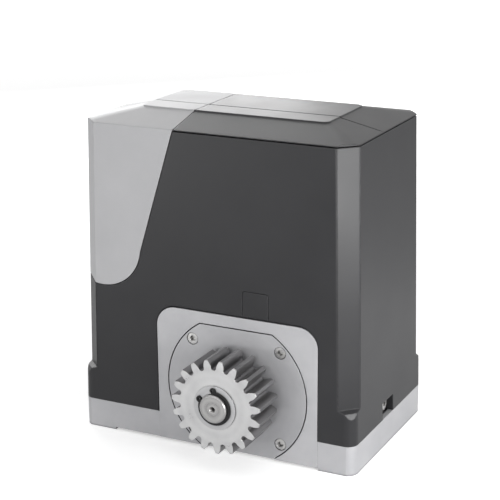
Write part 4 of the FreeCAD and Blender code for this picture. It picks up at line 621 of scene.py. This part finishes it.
frontward = Matrix.Rotation(radians(90), 4, "X")    # what was the top looks to the front
backward = Matrix.Rotation(radians(-90), 4, "X")
rightward = Matrix.Rotation(radians(90), 4, "Y")
leftward = Matrix.Rotation(radians(-90), 4, "Y")
hexagon = 6

headShape = {    # shares of the head's radius, then of its height
    "knurls": 36,
    "knurlDepth": 0.02,
    "rounding": 0.1,
    "socketFloor": 0.45,
}


def capScrew(screw):    # stands on its shank, head upwards from z = 0
    head, height = screw["head"], screw["height"]
    obj = addBar(headShape["knurls"] * 2, head, 0, height)
    sides = [face.index for face in obj.data.polygons if not looksUpOrDown(face)]
    grooves = set(sides[::2])
    editFaces(obj, lambda face: face.index in grooves)
    extrudeOut(-headShape["knurlDepth"] * head)
    leaveEdit()
    roundRim(obj, headShape["rounding"] * head)
    editFaces(obj, lambda face: looksDown(face) and face.area > head ** 2)
    bpy.ops.mesh.inset(thickness=head - screw["shank"])
    extrudeBy(0, 0, -screw["length"])
    leaveEdit()
    floor = headShape["socketFloor"] * height
    cutWith(obj, addBar(hexagon, screw["socket"], floor, floor + height))
    return obj


flangeScrew = {
    "head": 5 * mm,
    "height": 6 * mm,
    "socket": 2.9 * mm,
    "shank": 2.9 * mm,
    "length": 19 * mm,
    "spins": (0, 17, 34, 51),
}


def addFlangeScrews():
    low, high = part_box("flange_screws")
    reach = flangeScrew["head"]
    spots = [(x, z) for x in (low.x + reach, high.x - reach) for z in (low.z + reach, high.z - reach)]
    under = low.y + flangeScrew["height"]
    places = [at(x, under, z, frontward, spin) for (x, z), spin in zip(spots, flangeScrew["spins"])]
    screws = placeCopies(capScrew(flangeScrew), places)
    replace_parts(finishPiece(screws, "flange_cap_screws", "base", "zinc_screws"), "flange_screws")


releaseScrew = {
    "head": 3.8 * mm,
    "height": 4 * mm,
    "socket": 1.75 * mm,
    "shank": 1.9 * mm,
    "length": 10 * mm,
    "spins": (10, 35, 52),
}


def addReleaseScrews():
    low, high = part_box("release_screws")
    reach = releaseScrew["head"]
    under = high.y - releaseScrew["height"]
    spots = (
        ((low.x + high.x) / 2, high.z - reach),
        (low.x + reach, low.z + reach),
        (high.x - reach, low.z + reach),
    )
    places = [at(x, under, z, backward, spin) for (x, z), spin in zip(spots, releaseScrew["spins"])]
    screws = placeCopies(capScrew(releaseScrew), places)
    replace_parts(finishPiece(screws, "release_cap_screws", "base", "zinc_screws"), "release_screws")


coverScrew = {
    "head": 5 * mm,
    "height": 4.5 * mm,
    "socket": 2.6 * mm,
    "shank": 2.9 * mm,
    "length": 11 * mm,
    "spins": (12, 40),
}


def addCoverScrews():
    low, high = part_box("cover_screws")
    middle = (low + high) / 2
    height = coverScrew["height"]
    leftSpin, rightSpin = coverScrew["spins"]
    places = [
        at(low.x + height, middle.y, middle.z, leftward, leftSpin),
        at(high.x - height, middle.y, middle.z, rightward, rightSpin),
    ]
    screws = placeCopies(capScrew(coverScrew), places)
    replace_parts(finishPiece(screws, "cover_cap_screws", "base", "zinc_screws"), "cover_screws")


levellingScrew = {
    "radius": 3.95 * mm,
    "sides": 32,
    "socket": 2.3 * mm,
    "socketDepth": 5 * mm,
    "pitch": 1.25 * mm,
    "threadDepth": 0.6 * mm,
    "spins": (0, 23, 46, 69),
}


def addLevellingScrews():
    low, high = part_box("levelling_screws")
    radius = levellingScrew["radius"]
    length = high.z - low.z
    screw = addBar(levellingScrew["sides"], radius, 0, length)
    turns = int(length / levellingScrew["pitch"]) * 2
    editAll(screw)
    for step in range(1, turns):
        bpy.ops.mesh.bisect(plane_co=(0, 0, length * step / turns), plane_no=(0, 0, 1))
        bpy.ops.mesh.select_all(action="SELECT")
    leaveEdit()
    shrink = (radius - levellingScrew["threadDepth"]) / radius
    for vertex in screw.data.vertices:
        step = round(vertex.co.z * turns / length)
        if step % 2 == 0:    # every second ring is the floor of the thread
            vertex.co.x *= shrink
            vertex.co.y *= shrink
    floor = length - levellingScrew["socketDepth"]
    cutWith(screw, addBar(hexagon, levellingScrew["socket"], floor, length + radius))
    spots = [(x, y) for x in (low.x + radius, high.x - radius) for y in (low.y + radius, high.y - radius)]
    places = [at(x, y, low.z, None, spin) for (x, y), spin in zip(spots, levellingScrew["spins"])]
    screws = placeCopies(screw, places)
    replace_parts(finishPiece(screws, "levelling_grub_screws", "base", "zinc_screws"), "levelling_screws")


tieBolt = {
    "acrossCorners": 9.24 * mm,
    "head": 3.5 * mm,
    "softening": 0.3 * mm,
    "washer": 4.6 * mm,
    "washerSides": 36,
    "washerHeight": 0.8 * mm,
    "washerSoftening": 0.15 * mm,
    "rod": 2.5 * mm,
    "rodSides": 24,
}


def addTieBolts():
    low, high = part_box("motor_tie_bolts")
    radius = tieBolt["acrossCorners"] / 2
    length = high.z - low.z
    under = length - tieBolt["head"]
    head = addBar(hexagon, radius, under + tieBolt["washerHeight"], length)
    softenEdges(head, tieBolt["softening"])
    washer = addBar(tieBolt["washerSides"], tieBolt["washer"], under, under + tieBolt["washerHeight"])
    softenEdges(washer, tieBolt["washerSoftening"])
    rod = addBar(tieBolt["rodSides"], tieBolt["rod"], 0, under)
    flat = radius * cos(pi / hexagon)
    places = [at(x, y, low.z) for x in (low.x + radius, high.x - radius)
              for y in (low.y + flat, high.y - flat)]
    bolts = placeCopies(joinPieces([head, washer, rod]), places)
    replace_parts(finishPiece(bolts, "motor_hex_tie_bolts", "base", "zinc_screws"), "motor_tie_bolts")


lockFace = {
    "sides": 64,
    "rounding": 0.35 * mm,
    "rim": 0.5 * mm,
    "rimHeight": 0.3 * mm,
    "slot": 6 * mm,
    "slotWidth": 1.3 * mm,
    "slotDepth": 3.5 * mm,
    "notchAlong": (0.25, 0.55),    # shares of half the slot
    "notchAcross": (-2, 1.5),      # shares of half its width
}


def addLockFace():
    low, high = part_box("lock_plug")
    middle = (low + high) / 2
    radius = (high.x - low.x) / 2
    length = high.y - low.y
    plug = addBar(lockFace["sides"], radius, 0, length)
    roundRim(plug, lockFace["rounding"])
    sinkTop(plug, radius, lockFace["rim"], lockFace["rimHeight"])
    half, wide = lockFace["slot"] / 2, lockFace["slotWidth"] / 2
    floor, over = length - lockFace["slotDepth"], length + radius
    cutWith(plug, addBlock((-half, -wide, floor), (half, wide, over)))
    (start, stop), (near, far) = lockFace["notchAlong"], lockFace["notchAcross"]
    cutWith(plug, addBlock((half * start, wide * near, floor), (half * stop, wide * far, over)))
    plug = placeCopies(plug, [at(middle.x, low.y, middle.z, backward, 90)])
    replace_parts(finishPiece(plug, "lock_plug_with_keyhole", "lock", "lock_brass"), "lock_plug")


terminalBlock = {
    "width": 28 * mm,
    "poles": 5,
    "step": 1.1 * mm,          # how much lower the half with the screws is
    "stepHeight": 0.45,        # shares of the block's height and depth
    "screwHeight": 0.68,
    "screwDepth": 0.72,
    "entryLow": 0.3,
    "entryTop": 0.4,
    "entry": 3.2 * mm,
    "recess": 2.1 * mm,
    "screw": 1.9 * mm,
    "screwHead": 1.6 * mm,
    "slotWidth": 0.6 * mm,
    "slotFloor": 0.9 * mm,
    "sides": 24,
    "softening": 0.25 * mm,
    "firstSpin": 10,
    "spinStep": 31,
}


def terminalPole(pole, deep, tall):
    recess, entry = terminalBlock["recess"], terminalBlock["entry"]
    step = tall * terminalBlock["stepHeight"]
    body = addBlock((0, 0, 0), (pole, deep, tall))
    editAll(body)
    bpy.ops.mesh.bisect(plane_co=(0, 0, step), plane_no=(0, 0, 1))
    leaveEdit()
    editFaces(body, lambda face: looksBack(face) and face.center.z > step)
    extrudeBy(0, -terminalBlock["step"], 0)
    leaveEdit()
    softenEdges(body, terminalBlock["softening"])
    entryLow = deep * terminalBlock["entryLow"]
    cutWith(body, addBlock((pole / 2 - entry / 2, entryLow, -entry),
                           (pole / 2 + entry / 2, entryLow + entry, tall * terminalBlock["entryTop"])))
    hole = addBar(terminalBlock["sides"], recess, -tall, -deep * terminalBlock["screwDepth"])
    cutWith(body, placeCopies(hole, [at(pole / 2, 0, tall * terminalBlock["screwHeight"], frontward)]))
    return body


def terminalScrew():
    reach, half = terminalBlock["recess"], terminalBlock["slotWidth"] / 2
    screw = addBar(terminalBlock["sides"], terminalBlock["screw"], 0, terminalBlock["screwHead"])
    cutWith(screw, addBlock((-reach, -half, terminalBlock["slotFloor"]),
                            (reach, half, 2 * terminalBlock["screwHead"])))
    return screw


def addTerminalBlocks():
    low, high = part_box("terminal_blocks")
    width, poles = terminalBlock["width"], terminalBlock["poles"]
    pole, deep, tall = width / poles, high.y - low.y, high.z - low.z
    body, screw = terminalPole(pole, deep, tall), terminalScrew()
    onFace = low.y + deep * terminalBlock["screwDepth"]
    screwZ = low.z + tall * terminalBlock["screwHeight"]
    bodyPlaces, screwPlaces = [], []
    for start in (low.x, high.x - width):
        for index in range(poles):
            spin = terminalBlock["firstSpin"] + terminalBlock["spinStep"] * index
            bodyPlaces.append(at(start + pole * index, low.y, low.z))
            screwPlaces.append(at(start + pole * (index + 0.5), onFace, screwZ, backward, spin))
    blocks = placeCopies(body, bodyPlaces)
    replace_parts(finishPiece(blocks, "terminal_block_poles", "base", "terminal_green"), "terminal_blocks")
    finishPiece(placeCopies(screw, screwPlaces), "terminal_screws", "base", "zinc_screws")


relay = {"width": 15 * mm, "softening": 0.3 * mm, "draft": 0.97, "rim": 1.1 * mm, "rimHeight": 0.35 * mm}


def addRelays():
    low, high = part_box("relays")
    width, deep, tall = relay["width"], high.y - low.y, high.z - low.z
    case = addBlock((-width / 2, 0, -tall / 2), (width / 2, deep, tall / 2))
    editFaces(case, looksBack)
    bpy.ops.transform.resize(value=(relay["draft"], 1, relay["draft"]))
    bpy.ops.mesh.inset(thickness=relay["rim"])
    extrudeBy(0, -relay["rimHeight"], 0)
    leaveEdit()
    softenEdges(case, relay["softening"])
    middle = (low + high) / 2
    places = [at(x, low.y, middle.z) for x in (low.x + width / 2, high.x - width / 2)]
    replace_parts(finishPiece(placeCopies(case, places), "relay_cases", "base", "relay_black"), "relays")


processor = {
    "gap": 0.15 * mm,          # under the case
    "softening": 0.2 * mm,
    "mark": 0.9 * mm,          # the round dent by the first lead
    "markSides": 24,
    "markPlace": 0.7,          # shares of half the case, then of its thickness
    "markFloor": 0.8,
    "leads": 12,
    "lead": 0.45 * mm,
    "leadThickness": 0.25 * mm,
    "leadReach": 1 * mm,
    "leadRise": (0, 0.5 * mm, -0.3 * mm),
}


def addProcessor():
    low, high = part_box("processor")
    middle = (low + high) / 2
    half = (high.x - low.x) / 2 - processor["leadReach"]
    thick = high.y - low.y
    case = addBlock((-half, processor["gap"], -half), (half, thick, half))
    softenEdges(case, processor["softening"], 1)
    mark = addBar(processor["markSides"], processor["mark"], -2 * thick, -thick * processor["markFloor"])
    away = half * processor["markPlace"]
    cutWith(case, placeCopies(mark, [at(-away, 0, away, frontward)]))
    case = placeCopies(case, [at(middle.x, low.y, middle.z)])
    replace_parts(finishPiece(case, "processor_case", "base", "relay_black"), "processor")
    side = processor["lead"] / 2
    lead = addBlock((-side, 0, half), (side, processor["leadThickness"], half + processor["leadReach"]))
    editFaces(lead, looksDown)
    extrudeBy(*processor["leadRise"])
    leaveEdit()
    pitch = 2 * half / (processor["leads"] + 1)
    places = []
    for quarter in range(4):
        turned = Matrix.Rotation(radians(90 * quarter), 4, "Y")
        for index in range(processor["leads"]):
            shift = Matrix.Translation((pitch * (index + 1) - half, 0, 0))
            places.append(at(middle.x, low.y, middle.z) @ turned @ shift)
    finishPiece(placeCopies(lead, places), "processor_leads", "base", "zinc_screws")


button = {
    "case": 6 * mm,
    "caseHeight": 3.4 * mm,
    "softening": 0.3 * mm,
    "plunger": 1.75 * mm,
    "plungerSides": 32,
    "plungerLow": 0.9,         # share of the case's height
    "plungerSoftening": 0.2 * mm,
}


def addButtons():
    low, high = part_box("setting_buttons")
    middle = (low + high) / 2
    half, tall = button["case"] / 2, button["caseHeight"]
    case = addBlock((-half, 0, -half), (half, tall, half))
    softenEdges(case, button["softening"])
    plunger = addBar(button["plungerSides"], button["plunger"], tall * button["plungerLow"], high.y - low.y)
    softenEdges(plunger, button["plungerSoftening"])
    plunger = placeCopies(plunger, [backward])
    choose(plunger)
    bpy.ops.object.transform_apply(location=True, rotation=True, scale=True)
    places = [at(x, low.y, middle.z) for x in (low.x + half, middle.x, high.x - half)]
    buttons = placeCopies(joinPieces([case, plunger]), places)
    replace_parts(finishPiece(buttons, "push_buttons", "base", "relay_black"), "setting_buttons")


def boardSpot(across, up):    # a place on the board's outer face, as shares of its width and height
    low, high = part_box("control_board")
    return Vector((low.x + across * (high.x - low.x), high.y, low.z + up * (high.z - low.z)))


can = {
    "pieces": (    # across, up, radius, height
        (0.68, 0.80, 5 * mm, 12 * mm),
        (0.87, 0.80, 5 * mm, 12 * mm),
        (0.80, 0.66, 4 * mm, 9 * mm),
    ),
    "sides": 40,
    "rounding": 0.5 * mm,
    "rim": 0.5 * mm,
    "rimHeight": 0.4 * mm,
    "vent": 0.6,               # half its length, as a share of the radius
    "ventWidth": 0.24 * mm,
    "ventDepth": 0.8 * mm,
}


def addCans():
    cans = []
    for across, up, radius, height in can["pieces"]:
        obj = addBar(can["sides"], radius, 0, height)
        roundRim(obj, can["rounding"], 3)
        sinkTop(obj, radius, can["rim"], can["rimHeight"])
        half, wide = can["vent"] * radius, can["ventWidth"] / 2
        for spin in (0, 90):
            vent = addBlock((-half, -wide, height - can["ventDepth"]), (half, wide, height + radius))
            cutWith(obj, placeCopies(vent, [at(0, 0, 0, None, spin)]))
        cans.append(placeCopies(obj, [at(*boardSpot(across, up), backward)]))
    finishPiece(joinPieces(cans), "board_capacitors", "base", "clip_plastic")


driverChip = {
    "places": ((0.62, 0.30), (0.80, 0.30), (0.82, 0.48)),
    "width": 4 * mm,
    "height": 10 * mm,
    "thickness": 1.6 * mm,
    "softening": 0.25 * mm,
}


def addDriverChips():
    wide, tall = driverChip["width"] / 2, driverChip["height"] / 2
    case = addBlock((-wide, 0, -tall), (wide, driverChip["thickness"], tall))
    softenEdges(case, driverChip["softening"], 1)
    places = [at(*boardSpot(*share)) for share in driverChip["places"]]
    finishPiece(placeCopies(case, places), "board_driver_chips", "base", "relay_black")


resistor = {
    "count": 9,
    "first": 0.34,             # share of the board's width
    "step": 0.065,
    "row": 0.22,
    "lift": 1 * mm,            # axis over the board
    "radius": 0.9 * mm,
    "sides": 16,
    "length": 5.2 * mm,
    "shoulder": 0.6 * mm,
    "lead": 1.2 * mm,
    "softening": 0.15 * mm,
}


def addResistors():
    body = addBar(resistor["sides"], resistor["radius"], -resistor["length"] / 2, resistor["length"] / 2)
    editFaces(body, looksUpOrDown)
    bpy.ops.mesh.inset(thickness=resistor["shoulder"], use_individual=True)
    extrudeOut(resistor["lead"])
    leaveEdit()
    softenEdges(body, resistor["softening"])
    places = []
    for index in range(resistor["count"]):
        spot = boardSpot(resistor["first"] + resistor["step"] * index, resistor["row"])
        places.append(at(spot.x, spot.y + resistor["lift"], spot.z))
    finishPiece(placeCopies(body, places), "board_resistors", "base", "carrier_plastic")


fuse = {
    "place": (0.16, 0.28),
    "lift": 3 * mm,            # axis over the board
    "radius": 2.5 * mm,
    "sides": 24,
    "length": 20 * mm,
    "rounding": 0.4 * mm,
    "clipLows": (-10.4 * mm, 5.6 * mm),
    "clipLength": 4.8 * mm,
    "clipWidth": 6 * mm,
    "clipTop": 1.2 * mm,       # over the fuse's axis
    "clipBore": 2.4 * mm,
}


def addFuse():
    tube = addBar(fuse["sides"], fuse["radius"], -fuse["length"] / 2, fuse["length"] / 2)
    roundRim(tube, fuse["rounding"], wanted=looksUpOrDown)
    clips = []
    half = fuse["clipWidth"] / 2
    for low in fuse["clipLows"]:
        high = low + fuse["clipLength"]
        clip = addBlock((-half, -fuse["lift"], low), (half, fuse["clipTop"], high))
        cutWith(clip, addBar(fuse["sides"], fuse["clipBore"], low - 1 * mm, high + 1.2 * mm))
        clips.append(clip)
    spot = boardSpot(*fuse["place"])
    for obj in [tube] + clips:
        obj.matrix_world = at(spot.x, spot.y + fuse["lift"], spot.z) @ obj.matrix_world
    finishPiece(tube, "board_fuse", "base", "capacitor_white")
    finishPiece(joinPieces(clips), "board_fuse_clips", "base", "zinc_screws")


capacitorTop = {
    "disc": 13 * mm,
    "discSides": 48,
    "discHeight": 1.6 * mm,
    "rounding": 0.5 * mm,
    "blade": (6.3 * mm, 0.8 * mm, 8 * mm),
    "spread": 7 * mm,          # blades, from the middle
    "taper": (0.7, 0.6, 1),
    "hole": 0.9 * mm,
    "holeSides": 16,
    "holeHeight": 0.6,         # share of the blade
}


def addCapacitorTop():
    low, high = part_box("capacitor")
    middle = (low + high) / 2
    thickness = capacitorTop["discHeight"]
    disc = addBar(capacitorTop["discSides"], capacitorTop["disc"], 0, thickness)
    roundRim(disc, capacitorTop["rounding"])
    disc = placeCopies(disc, [at(middle.x, middle.y, high.z)])
    finishPiece(disc, "capacitor_top", "base", "clip_plastic")
    wide, thick, tall = capacitorTop["blade"]
    blade = addBlock((-wide / 2, -thick / 2, 0), (wide / 2, thick / 2, tall))
    editFaces(blade, looksUp)
    bpy.ops.transform.resize(value=capacitorTop["taper"])
    leaveEdit()
    hole = addBar(capacitorTop["holeSides"], capacitorTop["hole"], -thick, thick)
    cutWith(blade, placeCopies(hole, [at(0, 0, tall * capacitorTop["holeHeight"], frontward)]))
    places = [at(middle.x, middle.y + side * capacitorTop["spread"], high.z + thickness)
              for side in (-1, 1)]
    finishPiece(placeCopies(blade, places), "capacitor_blades", "base", "zinc_screws")


addFlangeScrews()
addReleaseScrews()
addCoverScrews()
addLevellingScrews()
addTieBolts()
addLockFace()
print("screws and lock added")

addTerminalBlocks()
addRelays()
addProcessor()
addButtons()
addCans()
addDriverChips()
addResistors()
addFuse()
addCapacitorTop()
print("control gear added")


studio = {
    "floorSize": 14,
    "floor": 0.8,
    "floorRoughness": 0.9,
    "fillReach": (0.5, 3),  # metres from the object
    "nearFill": 0.45,       # what the camera sees on the floor beyond its own light, by the object
    "farFill": 0.85,        # and far behind it
    "glossFill": 0.13,      # what glosses see of it
    "world": 0.34,
    "lamps": [              # name, place, what it looks at, width, height, watts
        ("overhead", (0, -0.2, 1.6), (0, 0, 0.1), 1.4, 1.2, 4),
        ("backLeft", (-1.0, 1.1, 0.65), (0, 0, 0.28), 1.1, 0.95, 12),
        ("front", (-0.3, -1.7, 0.8), (0, 0, 0.12), 0.9, 0.9, 6.5),
        ("lowLeft", (-0.75, -1.15, 0.08), (0.03, 0, 0.06), 0.2, 0.12, 1.7),
        ("floorRight", (0.42, 0.36, 0.2), (0.2, 0.1, 0), 0.2, 0.2, 0.6),
        ("right", (0.53, -0.28, 0.19), (0.13, -0.08, 0.22), 0.22, 0.2, 2.5),
    ],
    "matteLamps": ("floorRight",),    # no gloss shows these
}


def addFloor():
    deselect()
    bpy.ops.mesh.primitive_plane_add(size=studio["floorSize"])
    floor = bpy.context.object
    floor.name = "floor"
    material = bpy.data.materials.new("floor")
    material.use_nodes = True
    tree = material.node_tree
    shader = tree.nodes["Principled BSDF"]
    grey = studio["floor"]
    shader.inputs["Base Color"].default_value = (grey, grey, grey, 1)
    shader.inputs["Roughness"].default_value = studio["floorRoughness"]
    shader.inputs["Emission Color"].default_value = (1, 1, 1, 1)
    place = addNode(tree, "ShaderNodeTexCoord").outputs["Object"]
    reach = addNode(tree, "ShaderNodeVectorMath", operation="LENGTH")
    link(tree, place, reach.inputs[0])
    fill = mapRange(tree, reach.outputs["Value"], *studio["fillReach"],
                    studio["nearFill"], studio["farFill"])
    path = addNode(tree, "ShaderNodeLightPath")
    seen = calculate(tree, "MAXIMUM", path.outputs["Is Camera Ray"], path.outputs["Is Transmission Ray"])
    seen = calculate(tree, "MULTIPLY", seen, fill)
    glossed = calculate(tree, "MULTIPLY", path.outputs["Is Glossy Ray"], studio["glossFill"])
    link(tree, calculate(tree, "ADD", seen, glossed), shader.inputs["Emission Strength"])
    floor.data.materials.append(material)


def addWorld():
    world = bpy.data.worlds.new("studio")
    bpy.context.scene.world = world
    world.use_nodes = True
    tree = world.node_tree
    background = tree.nodes["Background"]
    background.inputs["Color"].default_value = (1, 1, 1, 1)
    path = addNode(tree, "ShaderNodeLightPath")
    seen = calculate(tree, "MAXIMUM", path.outputs["Is Camera Ray"], path.outputs["Is Glossy Ray"])
    seen = calculate(tree, "MAXIMUM", seen, path.outputs["Is Transmission Ray"])
    link(tree, mapRange(tree, seen, 0, 1, studio["world"], 1), background.inputs["Strength"])


def addLamps():
    for name, location, target, width, height, watts in studio["lamps"]:
        bpy.ops.object.light_add(type="AREA", location=location)
        lamp = bpy.context.object
        lamp.name = name
        lamp.data.shape = "RECTANGLE"
        lamp.data.size = width
        lamp.data.size_y = height
        lamp.data.energy = watts
        lamp.visible_camera = False
        lamp.visible_glossy = name not in studio["matteLamps"]
        way = Vector(target) - Vector(location)
        lamp.rotation_euler = way.to_track_quat("-Z", "Y").to_euler()


addFloor()
addWorld()
addLamps()
bpy.context.scene.view_settings.view_transform = "Standard"
print("studio set")
